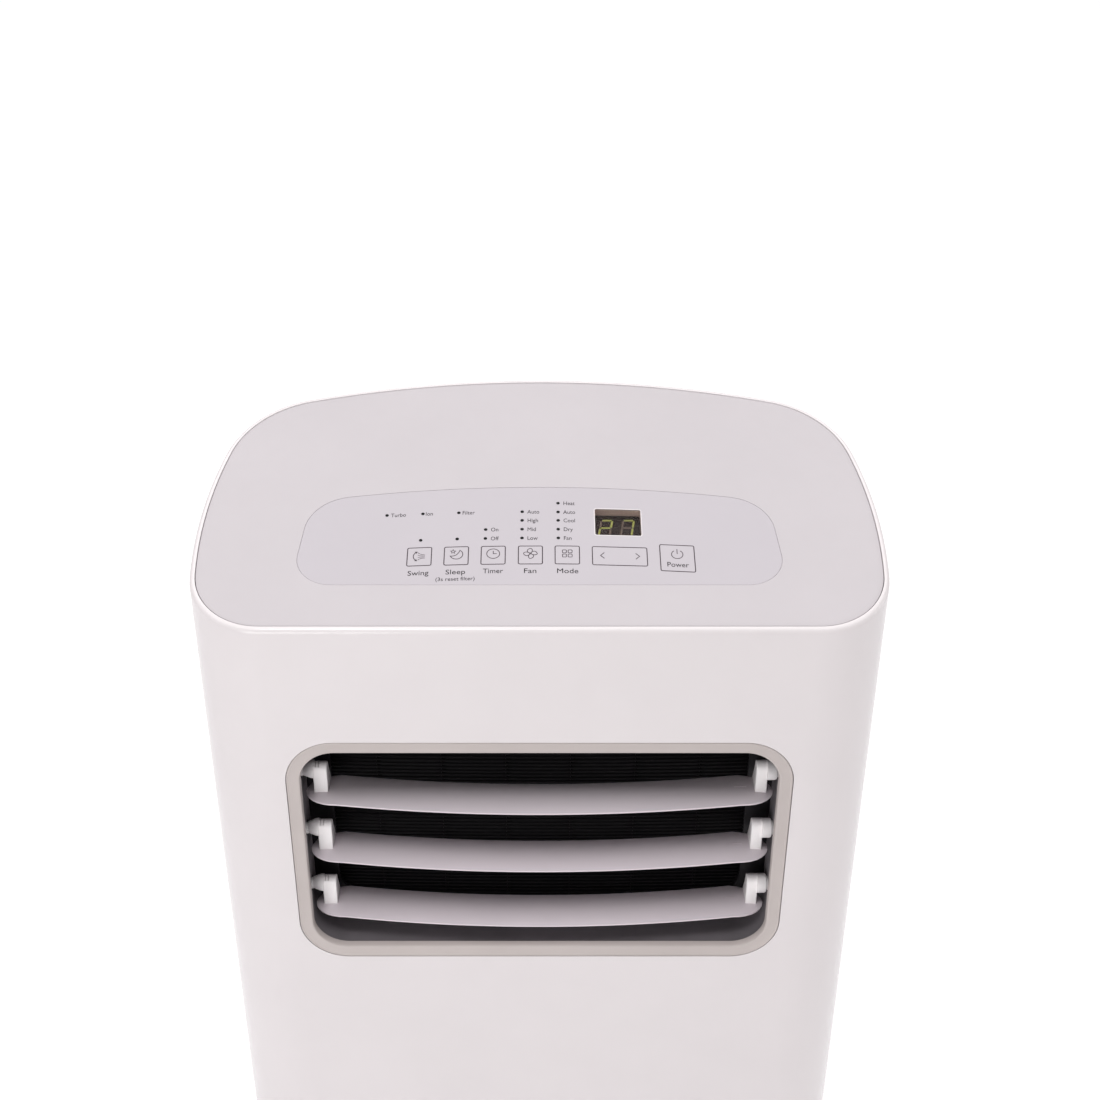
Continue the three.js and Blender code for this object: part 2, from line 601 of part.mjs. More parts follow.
// The compressor can, its accumulator on a bracket, and its three-armed foot plate.
function compressor() {
  const { x, y, radius, bottom, top, footReach } = COMPRESSOR;
  const foot = [[0, bottom], [radius - 8, bottom], [radius, bottom + 10]];
  const dome = [[radius, top - 26], [radius - 14, top - 8], [14, top], [0, top]];
  const profile = [...foot, ...dome].map(([r, z]) => new THREE.Vector2(r, z));
  const can = solidOf(new THREE.LatheGeometry(profile, 20).rotateX(Math.PI / 2).translate(x, y, 0));
  const feet = compressorFeet().flatMap(([fx, fy]) => {
    const angle = Math.atan2(fy - y, fx - x);
    const arm = new THREE.BoxGeometry(footReach, 16, 3).translate(footReach / 2, 0, 0);
    return [
      solidOf(arm.rotateZ(angle).translate(x, y, bottom - 1.5)),
      rodZ(9, fx, fy, bottom - 3.5, bottom, 12),
    ];
  });
  const a = ACCUMULATOR;
  const cylinder = rodZ(a.radius, a.x, a.y, a.bottom, a.top);
  const middle = [(x + a.x) / 2, (y + a.y) / 2];
  const bracket = new THREE.BoxGeometry(60, 10, 16)
    .rotateZ(Math.atan2(a.y - y, a.x - x))
    .translate(middle[0], middle[1], (a.bottom + a.top) / 2);
  return piece("compressor", "steel_black", join([can, ...feet, cylinder, solidOf(bracket)]));
}

// A finned heat exchanger: a core between two end plates, with return bends on its right end.
function coil(name, x0, x1, y0, y1, z0, z1, bends) {
  const core = box(x0 + 2, x1 - 2, y0 + 1, y1 - 1, z0 + 2, z1 - 2);
  const plates = [box(x0, x0 + 2.5, y0, y1, z0, z1), box(x1 - 2.5, x1, y0, y1, z0, z1)];
  const grooves = [];
  const grooveCount = 6;
  for (let k = 1; k < grooveCount; k += 1) {
    const x = x0 + ((x1 - x0) * k) / grooveCount;
    grooves.push(box(x - 1.2, x + 1.2, y0 - 1, y0 + 4, z0 + 4, z1 - 4));
  }
  const pitch = (z1 - z0 - 40) / bends;
  const returns = [];
  for (let k = 0; k < bends; k += 1) {
    const z = z0 + 20 + k * pitch;
    const y = (y0 + y1) / 2;
    const bend = [
      [x1 - 4, y, z],
      [x1 + 4, y, z],
      [x1 + 8, y, z + 9],
      [x1 + 4, y, z + 18],
      [x1 - 4, y, z + 18],
    ];
    returns.push(pipe(bend, 3, 6));
  }
  return piece(name, "fin_metal", join([cut(join([core, ...plates]), grooves), ...returns]));
}

// A forward-curved fan wheel on the Y axis: back plate, ring of blades, front ring, hub and shaft.
function fanWheel(name, fan, length, shaftFront) {
  const { x, z, radius, back } = fan;
  const front = back - length;
  const plate = rodY(radius, x, z, front, front + 2.5, 20);
  const eye = rodY(radius - 9, x, z, back - 4, back + 1, 20);
  const ring = rodY(radius, x, z, back - 2.5, back, 20).subtract(eye);
  const hub = rodY(11, x, z, front, front + 16, 12);
  const shaft = rodY(4, x, z, shaftFront, front + 10, 12);
  const bladeCount = 12;
  const blades = [];
  for (let k = 0; k < bladeCount; k += 1) {
    const angle = (2 * Math.PI * k) / bladeCount;
    const blade = new THREE.BoxGeometry(9, length - 2, 1.6).rotateY(0.6).translate(radius - 5, 0, 0);
    blades.push(solidOf(blade.rotateY(angle).translate(x, (front + back) / 2, z)));
  }
  return piece(name, "black_plastic", join([plate, ring, hub, shaft, ...blades]));
}

// The spiral that the fan wheel turns in, growing from the tongue round to the throat.
function volute(fan, small, large) {
  const points = [];
  const steps = 20;
  for (let k = 0; k <= steps; k += 1) {
    const angle = (2 * Math.PI * k) / steps;
    const r = small + ((large - small) * k) / steps;
    points.push(new THREE.Vector2(fan.x + r * Math.cos(angle), fan.z + r * Math.sin(angle)));
  }
  return points;
}

// A moulded foam block that holds the exhaust fan: inlet at the back, throat on top.
function exhaustScroll() {
  const block = box(-18, 150, -60, 46, 72, 284);
  const cavity = prismY(volute(EXHAUST_FAN, 60, 78), -30, 40);
  const throat = box(-10, 48, -30, 40, EXHAUST_FAN.z + 10, 300);
  const inlet = rodY(44, EXHAUST_FAN.x, EXHAUST_FAN.z, 30, 60, 32);
  const shaftHole = rodY(7, EXHAUST_FAN.x, EXHAUST_FAN.z, -70, -20, 16);
  return piece("exhaust_scroll", "foam", cut(block, [cavity, throat, inlet, shaftHole]));
}

function exhaustDuct() {
  const block = box(-68, 68, -48, 79, 284 + GAP, 410);
  const chamber = box(-60, 60, -40, 70, 292, 402);
  const inlet = box(-10, 48, -30, 40, 280, 300);
  const outlet = rodY(COLLAR.bore, 0, COLLAR.z, 60, 90, FINE);
  return piece("exhaust_duct", "foam", cut(block, [chamber, inlet, outlet]));
}

// The evaporator fan's block: spiral at the back, and a plenum in front that feeds the outlet.
function blowerScroll() {
  const block = box(-146, 146, -50, 46, TRAY.bottom + 4, 604);
  const cavity = prismY(volute(BLOWER, 60, 76), -20, 38);
  const throat = box(16, 76, -48, 38, BLOWER.z + 8, 596);
  const plenum = box(-134, 134, -60, -30, 436, 596);
  const inlet = rodY(46, BLOWER.x, BLOWER.z, 30, 60, 32);
  const shaftHole = rodY(7, BLOWER.x, BLOWER.z, -40, -10, 16);
  return piece("blower_scroll", "foam", cut(block, [cavity, throat, plenum, inlet, shaftHole]));
}

function fanMotor(name, fan, front, back, radius) {
  const can = rodY(radius, fan.x, fan.z, front, back, 16);
  const band = rodY(radius + 3, fan.x, fan.z, (front + back) / 2 - 2, (front + back) / 2 + 2, 16);
  const bore = rodY(5, fan.x, fan.z, back - 9, back + 1, 16);
  return piece(name, "galvanised", cut(can.add(band), [bore]));
}

function drainTray() {
  const { halfWidth: hw, front, back, bottom, top, wall } = TRAY;
  const tray = box(-hw, hw, front, back, bottom, top).subtract(
    box(-hw + wall, hw - wall, front + wall, back - wall, bottom + 3, top + 1),
  );
  const spout = rodY(PLUG.spout, UPPER_PLUG.x, UPPER_PLUG.z, back - 1, 88);
  const bore = rodY(PLUG.bore, UPPER_PLUG.x, UPPER_PLUG.z, back - 5, 90);
  return piece("drain_tray", "black_plastic", cut(tray.add(spout), [bore]));
}

function electricalBox() {
  const shell = box(-172, -76, -86, 20, 290, 370).subtract(box(-169, -79, -83, 23, 293, 367));
  const capacitor = rodZ(19, -140, -50, 292, 352);
  const board = box(-116, -82, -70, 10, 300, 304).add(box(-82, -78, -30, -20, 295, 310));
  return piece("electrical_box", "galvanised", join([shell, capacitor, board]));
}

function suctionPipe() {
  const fromCoil = [[-142.6, 62, 450], [-150, 62, 448], [-162, 56, 425], [-164, 50, 380], [-160, 48, 320]];
  const acrossBox = [[-140, 44, 285], [-90, 34, 262], [-64, 31, 245]];
  const intoTop = [225, ACCUMULATOR.top + GAP].map((z) => [ACCUMULATOR.x, ACCUMULATOR.y, z]);
  return piece("suction_pipe", "copper", pipe([...fromCoil, ...acrossBox, ...intoTop], 4.5, 22));
}

function dischargePipe() {
  const { x, y, top } = COMPRESSOR;
  const out = [[x, y, top + GAP], [x, y, 262], [-106, -8, 274], [-86, 4, 274]];
  const toCoil = [[-50, 20, 262], [-38, 44, 250], [-34, 60, 240], [-26, 64, 236], [-20.4, 64, 236]];
  return piece("discharge_pipe", "copper", pipe([...out, ...toCoil], 3.2, 20));
}

// ---------------------------------------------------------------- casters

// A fork turns about its stem. The axle is fixed in it, and trails behind the stem.
function casterFork(c) {
  const { trail, radius, axle, halfWidth } = WHEEL;
  const stem = rodZ(STEM.radius, c.x, c.y, 46, STEM.top - 2);
  const disc = rodZ(14, c.x, c.y, 40.5, WELL.ceiling - 0.8);
  const cheek = (side) => {
    const [x0, x1] = [side * (halfWidth + 0.8), side * (halfWidth + 3)].sort((a, b) => a - b);
    const aroundAxle = [[trail - 5, radius - 5], [trail + 5, radius - 5], [trail + 6, radius + 6]];
    const outline = [[-9, 41], [-8, 34], ...aroundAxle, [9, 41]];
    return prismX(outline.map(([y, z]) => new THREE.Vector2(c.y + y, z)), c.x + x0, c.x + x1);
  };
  const pin = rodX(axle, c.y + trail, radius, c.x - halfWidth - 2, c.x + halfWidth + 2, 12);
  return piece("caster_fork_" + c.name, "black_plastic", join([stem, disc, cheek(1), cheek(-1), pin]));
}

function casterWheel(c) {
  const { radius: r, halfWidth: h, axle, trail } = WHEEL;
  const bore = axle + 0.35;
  const profile = [[bore, -h], [r - 2, -h], [r, -h + 2], [r, h - 2], [r - 2, h], [bore, h], [bore, -h]];
  const outline = profile.map(([x, y]) => new THREE.Vector2(x, y));
  const wheel = new THREE.LatheGeometry(outline, 20).rotateZ(Math.PI / 2);
  return piece("caster_wheel_" + c.name, "rubber", solidOf(wheel.translate(c.x, c.y + trail, r)));
}

// ---------------------------------------------------------------- assembly

const panel = new THREE.Group();
panel.position.set(0, DECK_PIVOT.y, DECK_PIVOT.z);
panel.rotation.x = DECK_TILT;
panel.add(controlOverlay(), ...KEYS.map(key), displayWindow(), displayModule(), controlBoard());

const casing = new THREE.Group();
casing.add(basePan(), frontHousing(), rearHousing(), topDeck(), exhaustCollar(), cordGland());
casing.add(slottedPanel("filter_cover", COVER, 10, 19.5, 2), filterFrame());
casing.add(slottedPanel("lower_grille", LOWER_GRILLE, 12, 26, 2));
casing.add(handleCup(-1, "handle_cup_left"), handleCup(1, "handle_cup_right"));
casing.add(drainPlug("drain_plug_upper", UPPER_PLUG), drainPlug("drain_plug_lower", LOWER_PLUG));

const outlet = new THREE.Group();
outlet.add(outletRing(), outletDuct(), outletGrille(), louvreLink(), louvreMotor(), louvreCoupling());
LOUVRE_NAMES.forEach((_, i) => outlet.add(louvre(i), louvreCrank(i)));

const machinery = new THREE.Group();
machinery.add(compressor(), electricalBox(), drainTray(), suctionPipe(), dischargePipe());
machinery.add(coil("condenser_coil", -20, 145, 52, 77, 72, 282, 3));
machinery.add(coil("evaporator_coil", -140, 134, 50, 73, 417, 618, 3));
machinery.add(exhaustScroll(), exhaustDuct(), fanWheel("exhaust_wheel", EXHAUST_FAN, 58, -66));
machinery.add(fanMotor("exhaust_motor", EXHAUST_FAN, -94, -61, 36));
machinery.add(blowerScroll(), fanWheel("blower_wheel", BLOWER, 46, -36));
machinery.add(fanMotor("blower_motor", BLOWER, -49, -31, 34));

const casters = new THREE.Group();
CASTERS.forEach((c) => casters.add(casterFork(c), casterWheel(c)));

const airConditioner = new THREE.Group();
airConditioner.add(casing, panel, outlet, machinery, casters);

export default airConditioner;
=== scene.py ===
"""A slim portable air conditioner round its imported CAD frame. Shapes are made in millimetres."""
import json
from math import acos, asin, atan2, cos, hypot, pi, radians, sin, sqrt, tan

import bmesh
import bpy
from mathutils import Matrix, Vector


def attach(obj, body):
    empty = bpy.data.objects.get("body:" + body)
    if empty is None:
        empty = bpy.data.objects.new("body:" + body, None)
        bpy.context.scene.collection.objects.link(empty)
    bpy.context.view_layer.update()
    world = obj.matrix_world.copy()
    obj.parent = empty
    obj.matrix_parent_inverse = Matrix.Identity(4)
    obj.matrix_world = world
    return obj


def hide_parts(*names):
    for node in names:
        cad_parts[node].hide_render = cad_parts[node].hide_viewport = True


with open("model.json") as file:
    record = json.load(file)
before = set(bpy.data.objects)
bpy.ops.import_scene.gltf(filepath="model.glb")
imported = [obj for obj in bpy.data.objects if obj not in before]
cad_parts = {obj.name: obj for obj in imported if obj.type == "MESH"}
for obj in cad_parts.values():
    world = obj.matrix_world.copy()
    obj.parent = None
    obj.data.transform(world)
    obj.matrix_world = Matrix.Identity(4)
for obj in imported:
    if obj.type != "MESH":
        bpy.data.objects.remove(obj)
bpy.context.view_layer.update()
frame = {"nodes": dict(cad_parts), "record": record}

MM = 0.001
SCENE = bpy.context.scene

# The body, as in the CAD.
WIDTH = 404.0
FRONT_Y = -102.0
REAR_Y = 102.0
TILT = radians(15)
DECK_Y = -45.92
DECK_Z = 638.155
WALL = 3.3
GAP = 0.35
SPLIT_Y = 52.0
SIDE_R = 300.0
SIDE_Y = -38.0
BACK_R = 600.0
FRONT_CORNER_R = 44.0
REAR_CORNER_R = 66.0
BASE_BOTTOM = 28.0
BASE_TOP = 70.0

# The outlet.
RING = {"half_width": 149.9, "top": 543.6, "bottom": 371.7, "radius": 29.5, "band": 8.3, "thick": 5.0}
RING_Z = (RING["top"] + RING["bottom"]) / 2
RING_HALF_HEIGHT = (RING["top"] - RING["bottom"]) / 2
DUCT_BACK = -64.0
DUCT_EASE = 2.4
CHEEK_X = RING["half_width"] - RING["band"] + DUCT_EASE
PIVOT_Y = -79.0
PIVOT_Z = 504.8
PITCH = 46.0
LOUVRES = ("upper", "middle", "lower")
STUB_HOLE_R = 5.4

# The back.
COVER = {"half_width": 122.0, "bottom": 440.0, "top": 612.0}
GRILLE = {"half_width": 122.0, "bottom": 84.0, "top": 276.0}
COLLAR_Z = 346.0
COLLAR_R = 68.0
COLLAR_HOLE_R = 68.6
NOTCH_OUT = 56.5
PLUGS = {"upper": (100.0, 422.0, 97.5), "lower": (0.0, 50.0, 98.7)}
PLUG_R = 13.0
PLUG_HOLE_R = 13.4
GLAND = (-100.0, 306.0)
GLAND_R = 9.0
GLAND_HOLE_R = 9.2
HANDLE = {"y": -10.0, "z": 559.0, "half_length": 43.0, "half_height": 19.0, "radius": 9.0, "depth_x": 176.0}
HANDLE_FLANGE = 12.0

# The control panel: places are (u, v) in the deck plane, and w is the height along its normal.
DECK_TOP = -0.6
KEY_ARC = 1300.0
KEY_STEM_R = 2.2
KEY_STEM_HOLE_R = 2.7
BORDER_W = 0.5
KEYS = {
    "swing": (-69.7, -1.4, 14.4, 14.6),
    "sleep": (-48.3, -0.7, 14.4, 14.6),
    "timer": (-26.9, -0.2, 14.4, 14.6),
    "fan": (-5.3, 0.0, 14.4, 14.6),
    "mode": (16.1, 0.0, 14.6, 14.6),
    "down": (38.4, -0.7, 15.9, 14.8),
    "up": (54.7, -1.4, 15.9, 14.8),
    "power": (79.9, -2.6, 20.3, 21.0),
}
ARROW_GAP = 0.004
WINDOW = (46.3, 26.2, 27.2, 21.2)
INK_W = DECK_TOP + 0.06
INK_FOOT = DECK_TOP - 0.05
DOT_R = 1.05

# The casters: where each stem stands.
CASTERS = {
    "front_left": (-140.0, -56.0),
    "front_right": (140.0, -56.0),
    "rear_left": (-126.0, 44.0),
    "rear_right": (126.0, 44.0),
}
WHEEL_R = 18.0
WHEEL_HALF = 8.5
HUB_R = 12.5
TRAIL = 12.0
CASTER_WELL_R = 34.5
CASTER_WELL_ROOF = 47.5
BOSS_WALL = 3.5


# ---------------------------------------------------------------- places

def along_x(a, b, h):
    return Vector((h, a, b))


def along_y(a, b, h):
    return Vector((a, h, b))


def along_z(a, b, h):
    return Vector((a, b, h))


def on_deck(u, v, w):
    """A point of the tilted deck in the row frame."""
    y = DECK_Y + v * cos(TILT) - w * sin(TILT)
    z = DECK_Z + v * sin(TILT) + w * cos(TILT)
    return Vector((u, y, z))


def under_deck(x, y, w):
    """The point straight above or below (x, y) at height w over the deck plane."""
    return Vector((x, y, DECK_Z + (y - DECK_Y) * tan(TILT) + w / cos(TILT)))


def rear_y(x, inset=0.0):
    """The y of the curved back at x."""
    return REAR_Y - BACK_R + sqrt((BACK_R - inset) ** 2 - x * x)


def side_x(y, inset=0.0):
    """The distance of the curved side from the middle at y."""
    return WIDTH / 2 - SIDE_R + sqrt((SIDE_R - inset) ** 2 - (y - SIDE_Y) ** 2)


# ---------------------------------------------------------------- outlines

def spread(first, last, steps):
    return [first + (last - first) * k / steps for k in range(steps + 1)]


def arc(x, y, r, first, last, steps):
    return [(x + r * cos(a), y + r * sin(a)) for a in spread(first, last, steps)]


def mirrored(points):
    return [(-x, y) for x, y in reversed(points)]


def rear_corner():
    """Where a corner circle touches the side arc and the rear arc from inside."""
    ra, rb = SIDE_R - REAR_CORNER_R, BACK_R - REAR_CORNER_R
    side_centre = WIDTH / 2 - SIDE_R
    dx, dy = -side_centre, REAR_Y - BACK_R - SIDE_Y
    d = hypot(dx, dy)
    along = (ra * ra - rb * rb + d * d) / (2 * d)
    across = sqrt(ra * ra - along * along)
    return side_centre + (along * dx - across * dy) / d, SIDE_Y + (along * dy + across * dx) / d


def plan_right(inset, split=SPLIT_Y):
    """The right half of the body's plan in two runs: from the front to the split, and on to the back."""
    side_centre = WIDTH / 2 - SIDE_R
    corner_y = FRONT_Y + FRONT_CORNER_R
    corner_x = side_centre + sqrt((SIDE_R - FRONT_CORNER_R) ** 2 - (corner_y - SIDE_Y) ** 2)
    rear_x, rear_cy = rear_corner()
    leave_front = atan2(corner_y - SIDE_Y, corner_x - side_centre)
    leave_side = atan2(rear_cy - SIDE_Y, rear_x - side_centre)
    leave_rear = atan2(rear_cy - REAR_Y + BACK_R, rear_x)
    turn = asin((split - rear_cy) / (REAR_CORNER_R - inset))
    front = [(0.0, FRONT_Y + inset), (corner_x - 3, FRONT_Y + inset)]
    front += arc(corner_x, corner_y, FRONT_CORNER_R - inset, -pi / 2, leave_front, 16)
    front += arc(side_centre, SIDE_Y, SIDE_R - inset, leave_front, leave_side, 12)[1:]
    front += arc(rear_x, rear_cy, REAR_CORNER_R - inset, leave_side, turn, 6)[1:]
    rear = arc(rear_x, rear_cy, REAR_CORNER_R - inset, turn, leave_rear, 14)
    rear += arc(0, REAR_Y - BACK_R, BACK_R - inset, leave_rear, pi / 2, 10)[1:]
    return front, rear


def plan(inset):
    """The whole outline of the body, counter-clockwise."""
    front, rear = plan_right(inset)
    right = front + rear[1:]
    return right + mirrored(right)[1:-1]


def plan_front(inset):
    right = plan_right(inset, SPLIT_Y - 0.02)[0]
    return mirrored(right)[:-1] + right


def plan_rear(inset):
    right = plan_right(inset, SPLIT_Y + 0.02)[1]
    return right + mirrored(right)[1:]


def tangent_outline(arcs):
    """A convex outline, counter-clockwise, of (x, y, radius, steps) arcs joined by their tangents."""
    def join_angle(a, b):
        dx, dy = b[0] - a[0], b[1] - a[1]
        ratio = max(-1.0, min(1.0, (a[2] - b[2]) / hypot(dx, dy)))
        return atan2(dy, dx) - acos(ratio)

    count = len(arcs)
    starts = [join_angle(arcs[i - 1], arcs[i]) for i in range(count)]
    turns = [(starts[(i + 1) % count] - starts[i]) % (2 * pi) for i in range(count)]

    def touching(i):
        a, b = arcs[i - 1], arcs[i]
        return abs(hypot(b[0] - a[0], b[1] - a[1]) - abs(a[2] - b[2])) < 1e-6

    def outline(inset=0.0):
        points = []
        for i, (x, y, r, steps) in enumerate(arcs):
            made = arc(x, y, max(r - inset, 0.01), starts[i], starts[i] + turns[i], steps)
            points += made[1:] if touching(i) else made
        return points

    return outline


def rounded_box(x, y, half_width, half_height, radius, steps=8, slope=0.0):
    """A rectangle with round corners. Its long edges may slope."""
    dx, dy = half_width - radius, half_height - radius
    corners = [(-dx, -dy), (dx, -dy), (dx, dy), (-dx, dy)]
    return tangent_outline([(x + a, y + b + slope * a, radius, steps) for a, b in corners])


def ring_outline(grow=0.0):
    half_width, radius = RING["half_width"] + grow, RING["radius"] + grow
    return rounded_box(0, RING_Z, half_width, RING_HALF_HEIGHT + grow, radius, 16)


def circle(x, y, r, steps=32):
    def outline(inset=0.0):
        return arc(x, y, r - inset, 0, 2 * pi, steps)[:-1]
    return outline


def key_outline(key, grow=0.0):
    u, v, w, h = key
    return rounded_box(u, v, w / 2 + grow, h / 2 + grow, 1.2 + grow, 6, -u / KEY_ARC)


OVERLAY_FRONT = (119.5, -2.2, 21.0, 14)
OVERLAY_REAR = (109.5, 18.4, 29.0, 16)
OVERLAY_BACK_R = 780.0


def overlay_arcs():
    """The arcs of the film's outline. The long one at the back touches the two rear corners."""
    x, y, r, _ = OVERLAY_REAR
    back = (0.0, y - sqrt((OVERLAY_BACK_R - r) ** 2 - x * x), OVERLAY_BACK_R, 40)
    left = [(-row[0], *row[1:]) for row in (OVERLAY_REAR, OVERLAY_FRONT)]
    return [OVERLAY_FRONT, OVERLAY_REAR, back, *left]


overlay_outline = tangent_outline(overlay_arcs())


def straight(low, high):
    """(inset, height) steps of a plain wall."""
    return [(0, low), (0, high)]


def soft_levels(low, high, radius, bottom=True, steps=4):
    """(inset, height) steps of a wall whose ends are rounded."""
    turns = spread(0, pi / 2, steps)
    top = [(radius * (1 - cos(t)), high - radius + radius * sin(t)) for t in turns]
    if not bottom:
        return [(0.0, low)] + top
    return [(inset, low + high - height) for inset, height in reversed(top)] + top


# ---------------------------------------------------------------- meshes

class Shape:
    """Points in millimetres and faces, gathered from closed parts."""

    operation = "DIFFERENCE"

    def __init__(self):
        self.points = []
        self.faces = []

    def add(self, points, faces):
        first = len(self.points)
        self.points += points
        self.faces += [[first + i for i in face] for face in faces]
        return self

    def sweep(self, rings, closed=False):
        """A skin through rings of equal length. An open sweep is closed by its two end rings."""
        n = len(rings[0])
        total = n * len(rings)
        spans = len(rings) if closed else len(rings) - 1
        faces = []
        for i in range(spans):
            a, b = i * n, (i + 1) * n % total
            faces += [[a + k, a + (k + 1) % n, b + (k + 1) % n, b + k] for k in range(n)]
        if not closed:
            faces += [list(range(n))[::-1], list(range(total - n, total))]
        return self.add([p for ring in rings for p in ring], faces)

    def stack(self, outline, levels, place=along_z, closed=False):
        """Outlines at (inset, height) levels, joined to one solid."""
        return self.sweep([[place(a, b, h) for a, b in outline(inset)] for inset, h in levels], closed)

    def block(self, x0, x1, y0, y1, z0, z1):
        corners = [(x0, y0), (x1, y0), (x1, y1), (x0, y1)]
        return self.sweep([[Vector((x, y, z)) for x, y in corners] for z in (z0, z1)])

    def tube(self, path, radius, sides=10):
        """A round tube along a line of points."""
        rings = []
        for i, point in enumerate(path):
            ahead = (path[min(i + 1, len(path) - 1)] - path[max(i - 1, 0)]).normalized()
            aside = ahead.orthogonal() if i == 0 else aside - aside.dot(ahead) * ahead
            aside.normalize()
            up = ahead.cross(aside)
            turns = spread(0, 2 * pi, sides)[:-1]
            rings.append([point + radius * (cos(t) * aside + sin(t) * up) for t in turns])
        return self.sweep(rings)

    def mesh(self, name):
        made = bpy.data.meshes.new(name)
        made.from_pydata([p * MM for p in self.points], [], self.faces)
        weld(made, outwards=True)
        return made


def weld(mesh, outwards=False):
    """Joins points that coincide and, if asked, turns every face outwards."""
    work = bmesh.new()
    work.from_mesh(mesh)
    bmesh.ops.remove_doubles(work, verts=work.verts, dist=1e-7)
    if outwards:
        bmesh.ops.recalc_face_normals(work, faces=work.faces)
    work.to_mesh(mesh)
    work.free()


def link(name, data):
    made = bpy.data.objects.new(name, data)
    SCENE.collection.objects.link(made)
    return made


def bake_modifiers(obj):
    """Puts the result of the modifiers in the object's own mesh."""
    bpy.context.view_layer.update()
    shown = obj.evaluated_get(bpy.context.evaluated_depsgraph_get())
    made = bpy.data.meshes.new_from_object(shown)
    obj.modifiers.clear()
    old, obj.data = obj.data, made
    bpy.data.meshes.remove(old)


def combine(obj, shape):
    """Cuts the shape from the object, or joins it if the shape says so."""
    tool = link("tool", shape.mesh("tool"))
    step = obj.modifiers.new("step", "BOOLEAN")
    step.operation, step.solver, step.object = shape.operation, "EXACT", tool
    bake_modifiers(obj)
    data = tool.data
    bpy.data.objects.remove(tool)
    bpy.data.meshes.remove(data)


def round_edges(obj, width):
    """Bevels the edges that turn by more than 40 degrees."""
    step = obj.modifiers.new("edges", "BEVEL")
    step.width, step.segments = width * MM, 2
    step.limit_method, step.angle_limit = "ANGLE", radians(40)
    step.use_clamp_overlap = True
    bake_modifiers(obj)


def smooth(obj):
    """Shades the mesh smooth, but for edges that turn by more than 32 degrees."""
    mesh = obj.data
    mesh.polygons.foreach_set("use_smooth", [True] * len(mesh.polygons))
    mesh.set_sharp_from_angle(angle=radians(32))


def piece(name, shape, look, body="casing", slot=None, replaces=(), cuts=(), bevel=0.0):
    """A finished piece: a solid, what is cut from it in turn, its rounded edges, its look and body. Its slot
    is not used.
    """
    obj = link(name, shape.mesh(name))
    for tool in cuts:
        combine(obj, tool)
    if bevel:
        round_edges(obj, bevel)
    obj.data.name = name
    obj.data.materials.clear()
    obj.data.materials.append(M[look])
    smooth(obj)
    slot = slot or look
    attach(obj, body)
    if replaces:
        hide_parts(*replaces)


# ---------------------------------------------------------------- materials

def srgb(code):
    """A linear colour from a hexadecimal one."""
    def line(value):
        return value / 12.92 if value <= 0.04045 else ((value + 0.055) / 1.055) ** 2.4
    return tuple(line(int(code[i:i + 2], 16) / 255) for i in (0, 2, 4)) + (1.0,)


class Nodes:
    """The node tree of one material, with its shader and object coordinates."""

    def __init__(self, name):
        self.material = bpy.data.materials.new(name)
        self.material.use_nodes = True
        self.tree = self.material.node_tree
        self.shader = self.tree.nodes["Principled BSDF"]
        self.coordinates = self.make("ShaderNodeTexCoord").outputs["Object"]

    def make(self, kind, **inputs):
        node = self.tree.nodes.new(kind)
        for name, value in inputs.items():
            node.inputs[name.replace("_", " ")].default_value = value
        return node

    def join(self, source, target):
        self.tree.links.new(source, target)

    def noise(self, scale, detail=2.0, roughness=0.5):
        node = self.make("ShaderNodeTexNoise", Scale=scale, Detail=detail, Roughness=roughness)
        self.join(self.coordinates, node.inputs["Vector"])
        return node.outputs["Fac"]

    def ramp(self, factor, start, end):
        """A colour that goes from one (position, hexadecimal colour) to the other."""
        node = self.make("ShaderNodeValToRGB")
        for stop, (position, code) in zip(node.color_ramp.elements, (start, end)):
            stop.position, stop.color = position, srgb(code)
        self.join(factor, node.inputs["Fac"])
        return node.outputs["Color"]

    def paint(self, factor, start, end):
        """Gives the surface a colour between two, and returns it."""
        colour = self.ramp(factor, start, end)
        self.join(colour, self.shader.inputs["Base Color"])
        return colour

    def polish(self, factor, low, high):
        """Gives the surface a roughness between two."""
        self.join(self.level(factor, low, high), self.shader.inputs["Roughness"])

    def level(self, factor, low, high):
        """A number that goes from low to high with the factor."""
        node = self.make("ShaderNodeMapRange", From_Min=0.3, From_Max=0.7, To_Min=low, To_Max=high)
        self.join(factor, node.inputs["Value"])
        return node.outputs["Result"]

    def bump(self, height, distance):
        node = self.make("ShaderNodeBump", Strength=1.0, Distance=distance)
        self.join(height, node.inputs["Height"])
        self.join(node.outputs["Normal"], self.shader.inputs["Normal"])

    def set(self, **values):
        for name, value in values.items():
            self.shader.inputs[name.replace("_", " ")].default_value = value


def moulded(name, light, dark, rough, grain, depth, coat=0.0, metal=0.0, patch=14.0, specular=0.5):
    """Moulded or sheet material: a faint drift of colour and gloss, and a fine surface grain."""
    made = Nodes(name)
    made.paint(made.noise(patch, 3.0, 0.55), (0.25, dark), (0.75, light))
    made.polish(made.noise(patch * 9, 4.0, 0.6), rough * 0.88, min(rough * 1.12, 1.0))
    made.bump(made.noise(grain), depth * MM)
    made.set(Coat_Weight=coat, Coat_Roughness=0.05, Metallic=metal, Specular_IOR_Level=specular)
    return made.material


def lens_material():
    """A clear, faintly smoky sheet."""
    made = Nodes("smoked_lens")
    made.paint(made.noise(30), (0.3, "e4dad6"), (0.7, "e9e0dc"))
    made.polish(made.noise(220), 0.02, 0.035)
    made.bump(made.noise(60), 0.002 * MM)
    made.set(Transmission_Weight=1.0, IOR=1.12)
    return made.material


